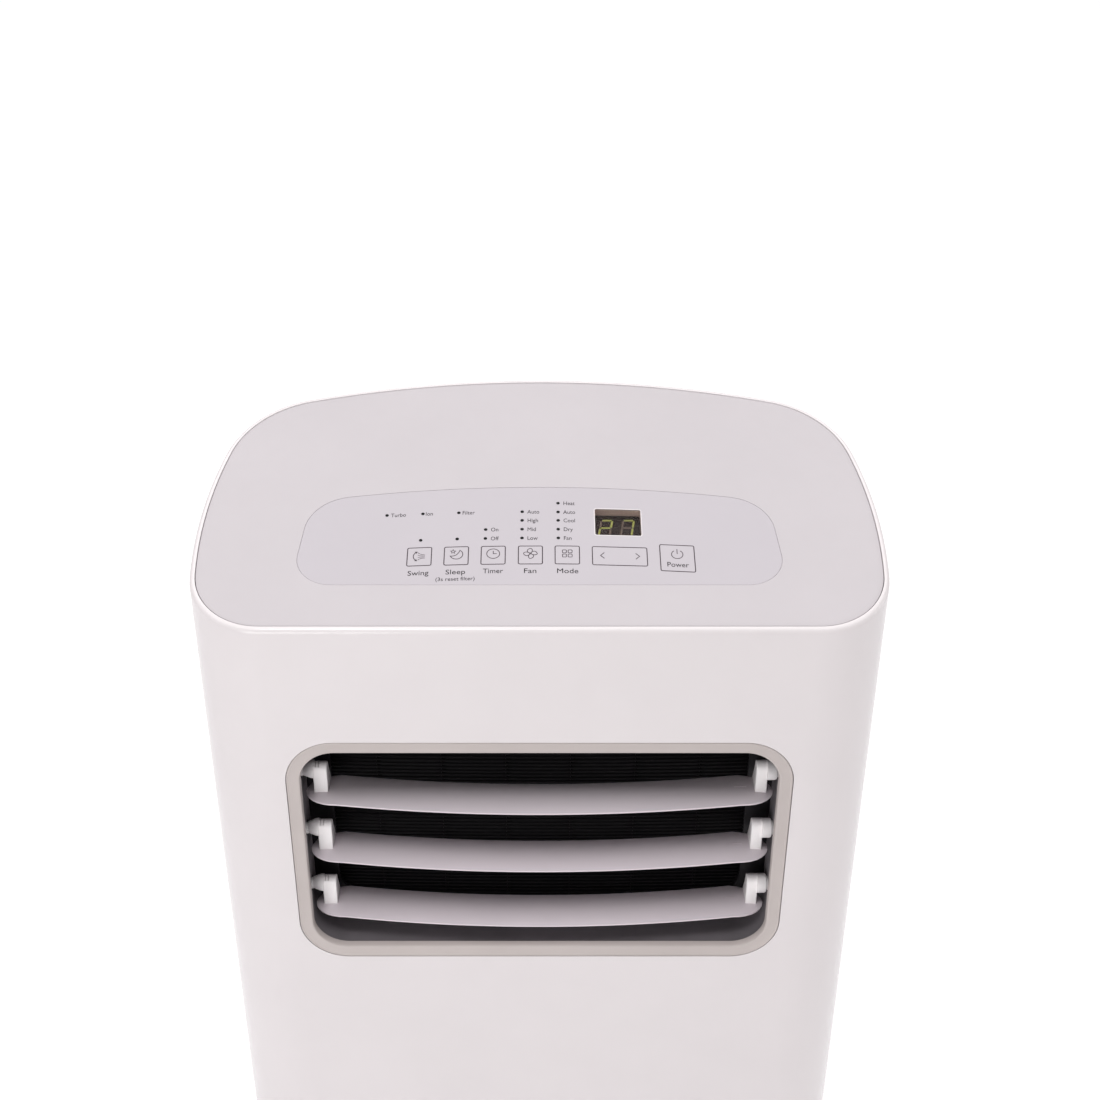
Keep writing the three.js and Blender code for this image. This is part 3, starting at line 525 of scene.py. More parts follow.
def glow_material(name, light, dark, strength):
    """A lit segment: the colour comes from inside it and is a little uneven."""
    made = Nodes(name)
    colour = made.paint(made.noise(500, 3.0), (0.3, dark), (0.7, light))
    made.join(colour, made.shader.inputs["Emission Color"])
    made.polish(made.noise(900), 0.3, 0.4)
    made.set(Emission_Strength=strength)
    return made.material


def fin_material():
    """Thin aluminium fins on edge, as a wave across the coil: the light bands are the fin edges, the dark
    bands are painted shade in the gaps between them.
    """
    made = Nodes("coil_fins")
    wave = made.make("ShaderNodeTexWave", Scale=260.0, Distortion=0.6, Detail=2.0)
    wave.bands_direction = "X"
    made.join(made.coordinates, wave.inputs["Vector"])
    # The dark bands of the wave are painted shade between the fins.
    made.paint(wave.outputs["Fac"], (0.2, "5f6468"), (0.8, "c3c8cc"))
    made.polish(made.noise(120), 0.32, 0.48)
    made.bump(wave.outputs["Fac"], 0.4 * MM)
    made.set(Metallic=0.85)
    return made.material


def foam_material():
    """Expanded foam, as small cells."""
    made = Nodes("expanded_foam")
    cells = made.make("ShaderNodeTexVoronoi", Scale=330.0)
    made.join(made.coordinates, cells.inputs["Vector"])
    made.paint(cells.outputs["Distance"], (0.1, "9a9da1"), (0.8, "7d8084"))
    made.polish(made.noise(50), 0.85, 0.95)
    made.bump(cells.outputs["Distance"], 0.3 * MM)
    return made.material


def make_materials():
    return {
        "gloss_white": moulded(
            "gloss_white_abs", "d0cacb", "cdc7c8", 0.24, 420, 0.006, coat=0.12, specular=0.4),
        "matte_white": moulded("matte_white_deck", "b2acaf", "afa9ac", 0.5, 1900, 0.012, specular=0.4),
        "overlay": moulded("overlay_film", "aca6ab", "aaa4a9", 0.38, 2600, 0.008, patch=20, specular=0.4),
        "ink": moulded("printed_ink", "463d42", "3f363b", 0.6, 2600, 0.004, patch=60, specular=0.2),
        "text_ink": moulded("legend_ink", "1f191c", "191416", 0.6, 2600, 0.004, patch=60, specular=0.2),
        "led_dark": moulded("indicator_lens", "070608", "040405", 0.6, 800, 0.003, patch=80, specular=0.2),
        "trim_grey": moulded("satin_trim", "b2a9a6", "aca3a0", 0.42, 1500, 0.008, patch=20),
        # The blades and their arms are one white moulding. The arms' lighter copy of it is painted light on
        # their lit front faces; the blades' lower tone is painted shade under the ring above them.
        "louvre_white": moulded(
            "louvre_white", "cec5ca", "cac1c6", 0.4, 1300, 0.007, patch=20, specular=0.35),
        "louvre_arm_painted_light": moulded("louvre_arm_painted_light", "efebeb", "ebe7e7", 0.36, 1300, 0.007, patch=20),
        # The channel's sides are white plastic like the body; this grey is painted shade inside the outlet's
        # mouth.
        "duct_grey": moulded("duct_grey", "6d686c", "635f62", 0.5, 900, 0.02, patch=26),
        "duct_dark": moulded("duct_dark", "1d1b1e", "191719", 0.55, 1000, 0.02, patch=26, specular=0.2),
        "black_plastic": moulded(
            "black_plastic", "080709", "050406", 0.42, 1400, 0.015, patch=24, specular=0.13),
        "display_face": moulded("display_face", "231c20", "1e181b", 0.5, 1200, 0.004, patch=60, specular=0.3),
        "display_wall": moulded("display_wall", "e8dbd6", "dfd1cb", 0.5, 1000, 0.006, patch=60),
        "segment_off": moulded("segment_off", "665951", "5e524b", 0.5, 1400, 0.003, patch=80),
        "segment_lit": glow_material("segment_lit", "939f4d", "869344", 0.36),
        "smoked_window": lens_material(),
        "circuit_green": moulded("circuit_board", "36663f", "29552f", 0.35, 700, 0.03, coat=0.3, patch=40),
        "foam": foam_material(),
        "fin_metal": fin_material(),
        "copper": moulded("copper_pipe", "c98657", "a9683f", 0.3, 500, 0.02, metal=1.0, patch=30),
        "steel_black": moulded("black_enamel", "232326", "18181a", 0.3, 500, 0.03, coat=0.5, patch=30),
        "galvanised": moulded("galvanised_steel", "b3b8bb", "969b9e", 0.42, 140, 0.03, metal=0.9, patch=60),
        "screw_steel": moulded("zinc_screw", "b9b9bb", "8f8f92", 0.35, 900, 0.02, metal=0.9, patch=90),
        "rubber": moulded("rubber", "2b2b2d", "1f1f21", 0.8, 1100, 0.05, patch=40),
        "hub_grey": moulded("hub_grey", "7e7d80", "737275", 0.5, 900, 0.02, patch=40),
        "filter_grey": moulded("filter_mesh", "4b4d51", "3c3e42", 0.7, 1200, 0.03, patch=40),
        "floor": moulded("studio_floor", "f6f5f6", "f1f0f1", 0.65, 300, 0.02, patch=3),
    }


# ---------------------------------------------------------------- stage

def make_camera():
    data = bpy.data.cameras.new("camera")
    data.lens, data.sensor_width = 55.87, 36.0
    data.shift_x = 0.0095
    camera = link("camera", data)
    camera.location = (0.0, -0.88295, 1.16678)
    camera.rotation_euler = (radians(57.868), 0.0, 0.0)
    SCENE.camera = camera


def area_light(name, place, target, size, power):
    """A square soft light that faces its target."""
    data = bpy.data.lights.new(name, "AREA")
    data.shape, data.size, data.energy = "SQUARE", size, power
    light = link(name, data)
    light.location = place
    light.rotation_mode = "QUATERNION"
    light.rotation_quaternion = (Vector(place) - Vector(target)).to_track_quat("Z", "Y")


def make_stage():
    mesh = bpy.data.meshes.new("floor")
    half = 14.0
    corners = [(-half, -half, 0), (half, -half, 0), (half, half, 0), (-half, half, 0)]
    mesh.from_pydata(corners, [], [(0, 1, 2, 3)])
    mesh.materials.append(M["floor"])
    link("floor", mesh)
    world = bpy.data.worlds.new("studio")
    world.use_nodes = True
    sky = world.node_tree.nodes["Background"].inputs
    sky["Color"].default_value = (1.0, 0.99, 0.995, 1.0)
    sky["Strength"].default_value = 0.34
    SCENE.world = world
    SCENE.view_settings.view_transform = "Standard"
    area_light("ceiling", (0.0, 1.9, 4.6), (0.0, 1.9, 0.0), 8.4, 420)
    area_light("fill", (-0.6, -1.65, 0.75), (0.0, -0.1, 0.5), 0.8, 11)
    area_light("top", (-0.3, -0.9, 2.6), (0.0, -0.1, 0.5), 0.6, 9)
    area_light("side", (2.0, 0.1, 0.7), (0.1, 0.0, 0.5), 1.0, 5)


# ---------------------------------------------------------------- housings

RIM_R = 2.7


def housing_section():
    """(inset, height, is it over the deck) round the wall's section: up outside, over the rim and back."""
    turns = spread(0, pi / 2, 5)
    rim = [(RIM_R * (1 - cos(t)), -RIM_R + RIM_R * sin(t), True) for t in turns]
    inner = [(WALL - 0.35, 0.0, True), (WALL - 0.1, -0.1, True), (WALL, -0.35, True)]
    ledge = [(WALL, -5.0, True), (8.5, -5.0, True), (8.5, -8.0, True), (WALL, -8.0, True)]
    foot = BASE_TOP + GAP
    return [(0.5, foot, False), (0.0, foot + 0.5, False), *rim, *inner, *ledge, (WALL, foot, False)]


def housing_shape(path):
    """The wall swept along its path in plan."""
    section = housing_section()
    outlines = {inset: path(inset) for inset, _, _ in section}
    rings = []
    for k in range(len(path(0.0))):
        ring = []
        for inset, height, from_deck in section:
            x, y = outlines[inset][k]
            ring.append(under_deck(x, y, height) if from_deck else Vector((x, y, height)))
        rings.append(ring)
    return Shape().sweep(rings)


def handle_outline(grow=0.0):
    h = HANDLE
    sizes = [h[key] + grow for key in ("half_length", "half_height", "radius")]
    return rounded_box(h["y"], h["z"], *sizes, 8)


def make_front_housing():
    mouth = Shape().stack(ring_outline(0.25), straight(FRONT_Y - 3, FRONT_Y + 8), along_y)
    window = handle_outline(HANDLE_FLANGE + GAP)
    handles = [Shape().stack(window, straight(side * 165, side * 215), along_x) for side in (1, -1)]
    piece("front_housing_shell", housing_shape(plan_front), "gloss_white",
          replaces=["front_housing"], cuts=[mouth, *handles])


SCREW_R = 3.9
SCREW_WELL_R = 5.2
CROSS_REACH = 2.1
CROSS_HALF = 0.45
SCREWS = [(side * 133.0, 92.0 + 122.0 * k) for side in (-1, 1) for k in range(5)]


def panel_box(panel, grow):
    w = panel["half_width"] + grow
    return Shape().block(-w, w, 70, 130, panel["bottom"] - grow, panel["top"] + grow)


def make_rear_housing():
    round_holes = [
        Shape().stack(circle(0, COLLAR_Z, COLLAR_HOLE_R, 64), straight(84, 115), along_y),
        Shape().stack(circle(*PLUGS["upper"][:2], PLUG_HOLE_R), straight(80, 115), along_y),
        Shape().stack(circle(*GLAND, GLAND_HOLE_R), straight(80, 115), along_y),
    ]
    wells = Shape()
    for x, z in SCREWS:
        wells.stack(circle(x, z, SCREW_WELL_R, 24), straight(rear_y(x) - 2.2, rear_y(x) + 8), along_y)
    panels = [panel_box(COVER, 0.3), panel_box(GRILLE, 0.3)]
    piece("rear_housing_shell", housing_shape(plan_rear), "gloss_white",
          replaces=["rear_housing"], cuts=[*panels, *round_holes, wells])
    for number, (x, z) in enumerate(SCREWS):
        make_screw(f"rear_screw_{number}", x, z)


def make_screw(name, x, z):
    """A cross-head screw at the bottom of its well in the back."""
    y = rear_y(x) - 2.4
    levels = [(0, y - 1.2), (0, y + 0.6), (0.5, y + 1.2), (1.6, y + 1.6)]
    head = Shape().stack(circle(x, z, SCREW_R, 24), levels, along_y)
    cross = []
    for a, b in ((CROSS_REACH, CROSS_HALF), (CROSS_HALF, CROSS_REACH)):
        cross.append(Shape().block(x - a, x + a, y + 0.5, y + 3, z - b, z + b))
    piece(name, head, "screw_steel", slot="galvanised", cuts=cross)


def make_handles():
    """Finger cups in the sides, with a rolled lip."""
    floor, flange = HANDLE["depth_x"], HANDLE_FLANGE
    outside = [(flange, floor), (flange, WALL), (0.0, WALL), (0.0, 0.9), (0.2, 0.55), (0.6, 0.4)]
    lip = [(flange - 1.6, 0.4), (flange - 0.2, 0.7), (flange + 1.0, 1.6), (flange + 2.2, 4.0)]
    inside = [(flange + 3.4, floor + 6), (flange + 4.4, floor + 3.6), (flange + 6.6, floor + 2.6)]
    for side, name in ((-1, "handle_cup_left"), (1, "handle_cup_right")):
        def place(a, b, h, side=side):
            """h above 100 is a fixed X; below it, a depth under the curved side."""
            return Vector((side * (h if h > 100 else side_x(a) - h), a, b))

        liner = Shape().stack(handle_outline(flange), outside + lip + inside, place)
        piece(f"{name}_liner", liner, "gloss_white", replaces=[name])


def make_base():
    """The foot of the body: a tray with wells for the casters and a drain."""
    foot = soft_levels(BASE_BOTTOM, BASE_TOP - 0.4, 3.0, steps=5)[:6]
    shell = Shape().stack(plan, foot + [(0, BASE_TOP - 0.5), (0.5, BASE_TOP)])
    hollow = Shape().stack(plan, [(WALL, BASE_BOTTOM + 5), (WALL, BASE_TOP + 5)])
    bosses, wells, bores = Shape(), Shape(), Shape()
    bosses.operation = "UNION"
    for x, y in CASTERS.values():
        boss = circle(x, y, CASTER_WELL_R + BOSS_WALL, 40)
        bosses.stack(boss, straight(BASE_BOTTOM + 3, CASTER_WELL_ROOF + BOSS_WALL))
        wells.stack(circle(x, y, CASTER_WELL_R, 40), straight(BASE_BOTTOM - 3, CASTER_WELL_ROOF))
        bores.stack(circle(x, y, 5, 20), straight(46, 60))
    drain_x, drain_z, _ = PLUGS["lower"]
    drain = Shape().stack(circle(drain_x, drain_z, PLUG_R + 0.5, 28), straight(93.4, 106), along_y)
    piece("base_tray", shell, "gloss_white", replaces=["base_pan"],
          cuts=[hollow, bosses, wells, bores, drain])


# ---------------------------------------------------------------- deck and control panel

def make_deck():
    """The top deck, a little higher all round its edge than in the middle."""
    edge = WALL + GAP
    levels = [(edge + 0.3, -4.6), (edge, -4.3), (edge, -0.65), (edge + 0.12, -0.34), (edge + 0.45, -0.18)]
    for inset in (7, 10, 14, 18, 22, 26):
        t = (inset - edge) / (26 - edge)
        levels.append((inset, -0.18 + (DECK_TOP + 0.18) * t * t * (3 - 2 * t)))
    rings = [[under_deck(x, y, w) for x, y in plan(inset)] for inset, w in levels]
    pocket = Shape().stack(overlay_outline, [(-0.12, DECK_TOP - 0.9), (-0.12, 2)], on_deck)
    holes = Shape().stack(key_outline(WINDOW, 0.9), straight(-7, 2), on_deck)
    for u, v, _, _ in KEYS.values():
        holes.stack(circle(u, v, KEY_STEM_HOLE_R, 20), straight(-7, 2), on_deck)
    piece("top_deck_panel", Shape().sweep(rings), "matte_white", replaces=["top_deck"],
          cuts=[pocket, holes])


def make_overlay():
    """The printed film, with a hole for each key and for the display."""
    levels = [(0, DECK_TOP - 0.8), (0, DECK_TOP - 0.12), (0.12, DECK_TOP)]
    film = Shape().stack(overlay_outline, levels, on_deck)
    holes = Shape()
    for name, key in KEYS.items():
        if name != "up":
            field = pair_of_arrows() if name == "down" else key
            holes.stack(key_outline(field, 0.08), straight(-3, 1), on_deck)
    window = Shape().stack(key_outline(WINDOW), straight(-3, 1), on_deck)
    piece("control_overlay_film", film, "overlay", replaces=["control_overlay"], cuts=[holes, window])


def pair_of_arrows():
    """The field that the two arrow keys share."""
    down, up = KEYS["down"], KEYS["up"]
    left, right = down[0] - down[2] / 2, up[0] + up[2] / 2
    return (left + right) / 2, (down[1] + up[1]) / 2, right - left, down[3]


def unit(x, y):
    """The same direction at length one. Nothing stays nothing."""
    length = hypot(x, y) or 1.0
    return x / length, y / length


class Print:
    """Thin printed marks on the panel."""

    def __init__(self):
        self.shape = Shape()

    def area(self, points, w=INK_W, low=INK_FOOT):
        """A filled mark."""
        self.shape.sweep([[on_deck(u, v, h) for u, v in points] for h in (low, w)])

    def line(self, points, width=0.45, closed=False):
        """A line of constant width through the points."""
        count = len(points)
        left, right = [], []
        for i, (x, y) in enumerate(points):
            before = points[i - 1] if closed or i > 0 else points[i]
            after = points[(i + 1) % count] if closed or i < count - 1 else points[i]
            back, ahead = unit(x - before[0], y - before[1]), unit(after[0] - x, after[1] - y)
            dx, dy = unit(back[0] + ahead[0], back[1] + ahead[1])
            along = ahead if any(ahead) else back
            reach = width / 2 / max(0.5, abs(dx * along[0] + dy * along[1]))
            left.append((x - dy * reach, y + dx * reach))
            right.append((x + dy * reach, y - dx * reach))
        rings = []
        for (lu, lv), (ru, rv) in zip(left, right):
            rings.append([on_deck(lu, lv, INK_FOOT), on_deck(ru, rv, INK_FOOT),
                          on_deck(ru, rv, INK_W), on_deck(lu, lv, INK_W)])
        self.shape.sweep(rings, closed)

    def dot(self, u, v):
        self.area(circle(u, v, DOT_R, 20)(), INK_W + 0.05)


def turned(points, u, v, degrees=0.0):
    """Points moved to (u, v) after a turn."""
    c, s = cos(radians(degrees)), sin(radians(degrees))
    return [(u + x * c - y * s, v + x * s + y * c) for x, y in points]


def bezier(p0, p1, p2, p3, steps=8):
    """Points of a cubic curve."""
    points = []
    for t in spread(0, 1, steps):
        a, b, c, d = (1 - t) ** 3, 3 * t * (1 - t) ** 2, 3 * t * t * (1 - t), t ** 3
        points.append(tuple(a * p0[i] + b * p1[i] + c * p2[i] + d * p3[i] for i in (0, 1)))
    return points


def icon_swing(ink, u, v):
    """A two-headed arrow beside four streams of air that spread towards it."""
    sweep = radians(55)
    bow = turned(arc(0.3, 0, 3.8, pi - sweep, pi + sweep, 14), u, v)
    ink.line(bow, 0.5)
    for (x, y), degrees in ((bow[0], 35), (bow[-1], -35)):
        ink.area(turned([(1.0, 0), (-0.5, 0.95), (-0.5, -0.95)], x, y, degrees))
    for rise in (3.0, 0.95, -0.95, -3.0):
        stream = bezier((-0.9, rise), (0.2, rise * 0.55), (1.2, rise * 0.45), (3.2, rise * 0.45))
        ink.line(turned(stream, u, v), 0.28)


def icon_sleep(ink, u, v):
    """A crescent moon under a small star."""
    outer = arc(0, 0, 3.75, radians(-158), radians(58), 22)
    inner = bezier(outer[-1], (1.4, 0.4), (-0.6, -1.8), outer[0], 12)[1:-1]
    ink.line(turned(outer + inner, u, v), closed=True)
    star = []
    for k in range(10):
        r = 1.6 if k % 2 == 0 else 0.7
        a = radians(90 + 36 * k)
        star.append((r * cos(a), r * sin(a)))
    ink.line(turned(star, u - 1.9, v + 2.1), 0.35, closed=True)


def icon_timer(ink, u, v):
    ink.line(arc(u, v, 3.75, 0, 2 * pi, 36)[:-1], closed=True)
    ink.line([(u, v + 2.2), (u, v), (u + 2.0, v)])


def icon_fan(ink, u, v):
    """Four curled blades with pointed tips."""
    blade = bezier((0.1, 0.3), (-2.4, 0.6), (-2.5, 3.7), (0.3, 4.0))
    blade += bezier((0.3, 4.0), (1.5, 3.2), (1.2, 1.5), (0.4, 0.5))[1:-1]
    for k in range(4):
        ink.line(turned(blade, u, v, 90 * k), 0.42, closed=True)


def icon_mode(ink, u, v):
    for a in (-1, 1):
        for b in (-1, 1):
            ink.line(rounded_box(u + 1.65 * a, v + 1.65 * b, 1.15, 1.15, 0.45, 4)(), 0.42, closed=True)


def icon_power(ink, u, v):
    ink.line(arc(u, v, 3.3, radians(122), radians(418), 32))
    ink.line([(u, v + 4.1), (u, v + 0.4)])


def chevron(ink, u, v, side):
    ink.line([(u - side * 1.1, v + 2.3), (u + side * 1.1, v), (u - side * 1.1, v - 2.3)])


def key_border(ink, name):
    """The printed line just inside a key's edge. The two arrow keys share one line between them."""
    if name not in ("down", "up"):
        ink.line(key_outline(KEYS[name])(BORDER_W / 2), BORDER_W, closed=True)
        return
    u, v, w, h = pair_of_arrows()
    whole = key_outline((u, v, w, h))(BORDER_W / 2)
    middle = (KEYS["down"][0] + KEYS["up"][0]) / 2
    side = -1 if name == "down" else 1
    seam = middle + side * 0.01
    inside = [(x - seam) * side > 0 for x, _ in whole]
    start = next(i for i, kept in enumerate(inside) if kept and not inside[i - 1])
    kept = [whole[(start + i) % len(whole)] for i in range(sum(inside))]

    def meet(a, b):
        t = (seam - a[0]) / (b[0] - a[0])
        return seam, a[1] + (b[1] - a[1]) * t

    after = whole[(start + len(kept)) % len(whole)]
    ink.line([meet(whole[start - 1], kept[0]), *kept, meet(kept[-1], after)], BORDER_W)


def arrow_key_outline(name):
    """Half of the field that the two arrow keys share, square where the halves meet."""
    u, v, w, h = pair_of_arrows()
    side = -1 if name == "down" else 1
    outer, inner = u + side * w / 2, (KEYS["down"][0] + KEYS["up"][0]) / 2 + side * ARROW_GAP
    middle, slope = (outer + inner) / 2, -u / KEY_ARC
    return rounded_box(middle, v + (middle - u) * slope, abs(outer - inner) / 2, h / 2, 0.02, 1, slope)


CHEVRONS = {"down": (36.5, -0.4, -1), "up": (56.9, -1.1, 1)}
ICONS = {
    "swing": (icon_swing, 0.2),
    "sleep": (icon_sleep, 1.2),
    "timer": (icon_timer, 1.2),
    "fan": (icon_fan, 1.2),
    "mode": (icon_mode, 1.2),
    "power": (icon_power, 3.0),
}


def make_keys():
    """The touch pads, each with a stem down to its switch and with its print."""
    for name, key in KEYS.items():
        arrow = name in ("down", "up")
        outline = arrow_key_outline(name) if arrow else key_outline(key)
        edge = 0.004 if arrow else 0.06
        levels = [(0, DECK_TOP - 0.35), (0, DECK_TOP - edge), (edge, DECK_TOP)]
        cap = Shape().stack(outline, levels, on_deck)
        cap.stack(circle(*key[:2], KEY_STEM_R, 20), straight(-9.3, DECK_TOP - 0.3), on_deck)
        body = name + "_key"
        piece(f"{name}_key_pad", cap, "overlay", body, replaces=["key_" + name])
        ink = Print()
        key_border(ink, name)
        if name in ICONS:
            icon, rise = ICONS[name]
            icon(ink, key[0], key[1] + rise)
        else:
            chevron(ink, *CHEVRONS[name])
        piece(f"{name}_key_print", ink.shape, "ink", body, slot="overlay")


LABEL_SIZE = 4.25
LABEL_STRETCH = 0.83
LEGEND_SIZE = 5.2


def legend(text, u, v, size, align, name, body="casing", width=None):
    """A printed word, stretched to its width if that is given. v is the middle of its capitals."""
    data = bpy.data.curves.new(name, "FONT")
    data.body, data.size, data.extrude = text, size, 0.05
    data.align_x = align
    data.resolution_u = 3
    source = link(name + "_source", data)
    bpy.context.view_layer.update()
    mesh = bpy.data.meshes.new_from_object(source.evaluated_get(bpy.context.evaluated_depsgraph_get()))
    bpy.data.objects.remove(source)
    bpy.data.curves.remove(data)
    xs = [p.co.x for p in mesh.vertices]
    stretch = width / (max(xs) - min(xs)) if width else LABEL_STRETCH
    middle = (max(xs) + min(xs)) / 2 if align == "CENTER" else 0.0
    cap_middle = size * 0.35
    slope = -u / KEY_ARC
    for p in mesh.vertices:
        x = (p.co.x - middle) * stretch
        p.co = on_deck(u + x, v + (p.co.y - cap_middle) + slope * x, DECK_TOP + p.co.z) * MM
    weld(mesh)
    mesh.materials.append(M["text_ink"])
    made = link(name, mesh)
    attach(made, body)


COLUMNS = {
    "fan": (-10.3, [("Auto", 34.9), ("High", 27.8), ("Mid", 20.6), ("Low", 13.5)]),
    "mode": (11.0, [("Heat", 42.0), ("Auto", 34.7), ("Cool", 27.8), ("Dry", 20.6), ("Fan", 13.5)]),
    "timer": (-31.7, [("On", 20.3), ("Off", 13.1)]),
}
SINGLES = {"Turbo": (-90.4, 31.8, 2.3), "Ion": (-69.2, 33.1, 1.5), "Filter": (-47.9, 34.0, 2.0)}
BARE_DOTS = [(-69.5, 11.6), (-48.2, 12.7)]
WORDS = {
    "Swing": (-69.8, -14.1, 12.0), "Sleep": (-48.4, -13.2, 11.3), "Timer": (-26.8, -12.4, 11.6),
    "Fan": (-5.4, -12.3, 7.1), "Mode": (16.2, -12.4, 12.2),
}


def make_legends():
    """Indicator dots and the plain words beside and below them."""
    dots = Print()
    for column, (u, rows) in COLUMNS.items():
        for text, v in rows:
            dots.dot(u, v)
            legend(text, u + 3.0, v, LABEL_SIZE, "LEFT", f"label_{column}_{text}".lower())
    for text, (u, v, gap) in SINGLES.items():
        dots.dot(u, v)
        legend(text, u + gap, v, LABEL_SIZE, "LEFT", f"label_{text}".lower())
    for u, v in BARE_DOTS:
        dots.dot(u, v)
    piece("indicator_dots", dots.shape, "led_dark", slot="overlay")
    for text, (u, v, width) in WORDS.items():
        legend(text, u, v, LEGEND_SIZE, "CENTER", f"legend_{text}".lower(), width=width)
    legend("(3s reset filter)", -48.4, -18.6, 3.9, "CENTER", "legend_reset", width=22.4)
    legend("Power", 80.0, -7.6, LEGEND_SIZE, "CENTER", "legend_power", "power_key", 12.4)


def bar(u, v, length, width, upright):
    """A segment with pointed ends."""
    a, b = length / 2, width / 2
    points = [(-a, 0), (-a + b, -b), (a - b, -b), (a, 0), (a - b, b), (-a + b, b)]
    return [(u - y, v + x) for x, y in points] if upright else [(u + x, v + y) for x, y in points]


DIGITS = {"tens": (38.5, "abged"), "ones": (51.4, "abc")}
DIGIT_V = 26.5
DIGIT_HALF_W = 3.2
DIGIT_HALF_H = 6.1
DIGIT_SLANT = 0.157
SEGMENT_W = 1.15
FACE = -6.0
SEGMENTS = {
    "a": (0, 1.0), "g": (0, 0.0), "d": (0, -1.0),
    "b": (1, 0.5), "c": (1, -0.5), "f": (-1, 0.5), "e": (-1, -0.5),
}


def make_digits():
    """The seven bars of each digit, lit or dark, all leaning a little to the right."""
    lit, dark = Print(), Print()
    for u, shown in DIGITS.values():
        for letter, (across, up) in SEGMENTS.items():
            upright = across != 0
            length = (DIGIT_HALF_H if upright else 2 * DIGIT_HALF_W) - 0.5
            points = bar(across * DIGIT_HALF_W, up * DIGIT_HALF_H, length, SEGMENT_W, upright)
            slanted = [(u + 0.65 + a + DIGIT_SLANT * b, DIGIT_V + b) for a, b in points]
            (lit if letter in shown else dark).area(slanted, FACE + 0.07, FACE - 0.05)
    piece("digit_segments_lit", lit.shape, "segment_lit", slot="smoked_window")
    piece("digit_segments_dark", dark.shape, "segment_off", slot="smoked_window")


def make_display():
    """A two-digit display at the bottom of a pale well, under a thin smoky lens."""
    levels = [(-0.8, -7.0), (-0.8, DECK_TOP - 0.85), (0.1, DECK_TOP - 0.85), (0.1, FACE), (0.1, -6.9)]
    walls = Shape().stack(key_outline(WINDOW), levels, on_deck, closed=True)
    piece("display_well", walls, "display_wall", slot="black_plastic")
    levels = [(0, -12.0), (0, FACE - 0.2), (0.2, FACE)]
    face = Shape().stack(key_outline(WINDOW, -0.15), levels, on_deck)
    piece("display_face", face, "display_face", slot="black_plastic", replaces=["display_module"])
    make_digits()
    levels = [(0, DECK_TOP - 0.8), (0, DECK_TOP - 0.15), (0.1, DECK_TOP - 0.05)]
    lens = Shape().stack(key_outline(WINDOW, -0.12), levels, on_deck)
    piece("display_lens", lens, "smoked_window", replaces=["display_window"])
    low, high = DECK_TOP - 0.1, DECK_TOP + 0.08
    levels = [(-0.55, low), (-0.5, high), (0.0, high), (0.05, low)]
    bezel = Shape().stack(key_outline(WINDOW), levels, on_deck, closed=True)
    piece("display_bezel", bezel, "gloss_white", slot="overlay")


# ---------------------------------------------------------------- outlet

def make_ring():
    """The trim round the outlet, with a soft inner edge and a shallow dish."""
    band, y = RING["band"], FRONT_Y
    back = y + RING["thick"]
    outer = [(0.0, back), (0.0, y + 0.7), (0.2, y + 0.2), (0.7, y), (1.3, y + 0.25), (1.9, y + 0.4)]
    dish = [(band - 1.9, y + 0.45), (band - 1.2, y + 0.4), (band - 0.5, y + 0.65)]
    ring = Shape().stack(ring_outline(), [*outer, *dish, (band, y + 1.5), (band, back)], along_y, closed=True)
    piece("outlet_ring", ring, "trim_grey", replaces=["outlet_trim_ring"])


def make_duct():
    """The channel behind the ring: its sides painted grey as painted shade inside the mouth, with holes for
    the louvres' stubs.
    """
    band, front = RING["band"] - DUCT_EASE, FRONT_Y + RING["thick"] + 0.3
    outside, back = band - 3, DUCT_BACK
    section = [(outside, front), (band - 0.4, front), (band, front + 0.4), (band, back), (outside, back)]
    holes = Shape()
    for k in range(len(LOUVRES)):
        holes.stack(circle(PIVOT_Y, PIVOT_Z - k * PITCH, STUB_HOLE_R, 24), straight(-150, 150), along_x)
    channel = Shape().stack(ring_outline(), section, along_y, closed=True)
    piece("outlet_channel", channel, "duct_grey", replaces=["outlet_duct"], cuts=[holes])


FIELD_HALF = 129.0
FIELD_MARGIN = 5.0
FIELD_R = 20.0
FIELD_BOW = 2.6
RIB_PITCH = 2.8
RIB_INSET = 2
RIB_R = 0.75
RIB_Y = -58.7
STAY_R = 1.0
STAY_Y = -57.0


def bowed(x, y, z):
    """A point of the field of ribs, which bows forward in the middle."""
    return Vector((x, y - FIELD_BOW * (1 - (x / (FIELD_HALF + 2)) ** 2), z))


def make_ribs(low, high):
    """Fine level ribs between low and high, cut short at the round corners, and a few stays behind them."""
    ribs = Shape()
    top, bottom = high - RIB_INSET, low + RIB_INSET
    for k in range(int((top - bottom) / RIB_PITCH) + 1):
        z = top - k * RIB_PITCH
        reach = min(z - low, high - z, FIELD_R)
        half = FIELD_HALF - FIELD_R + sqrt(FIELD_R ** 2 - (FIELD_R - reach) ** 2) + 1.0
        ribs.tube([bowed(x, RIB_Y, z) for x in spread(-half, half, 24)], RIB_R, 6)
    for x in range(-100, 101, 40):
        ribs.tube([bowed(x, STAY_Y, z) for z in (bottom - RIB_INSET, top + RIB_INSET)], STAY_R, 6)
    return ribs


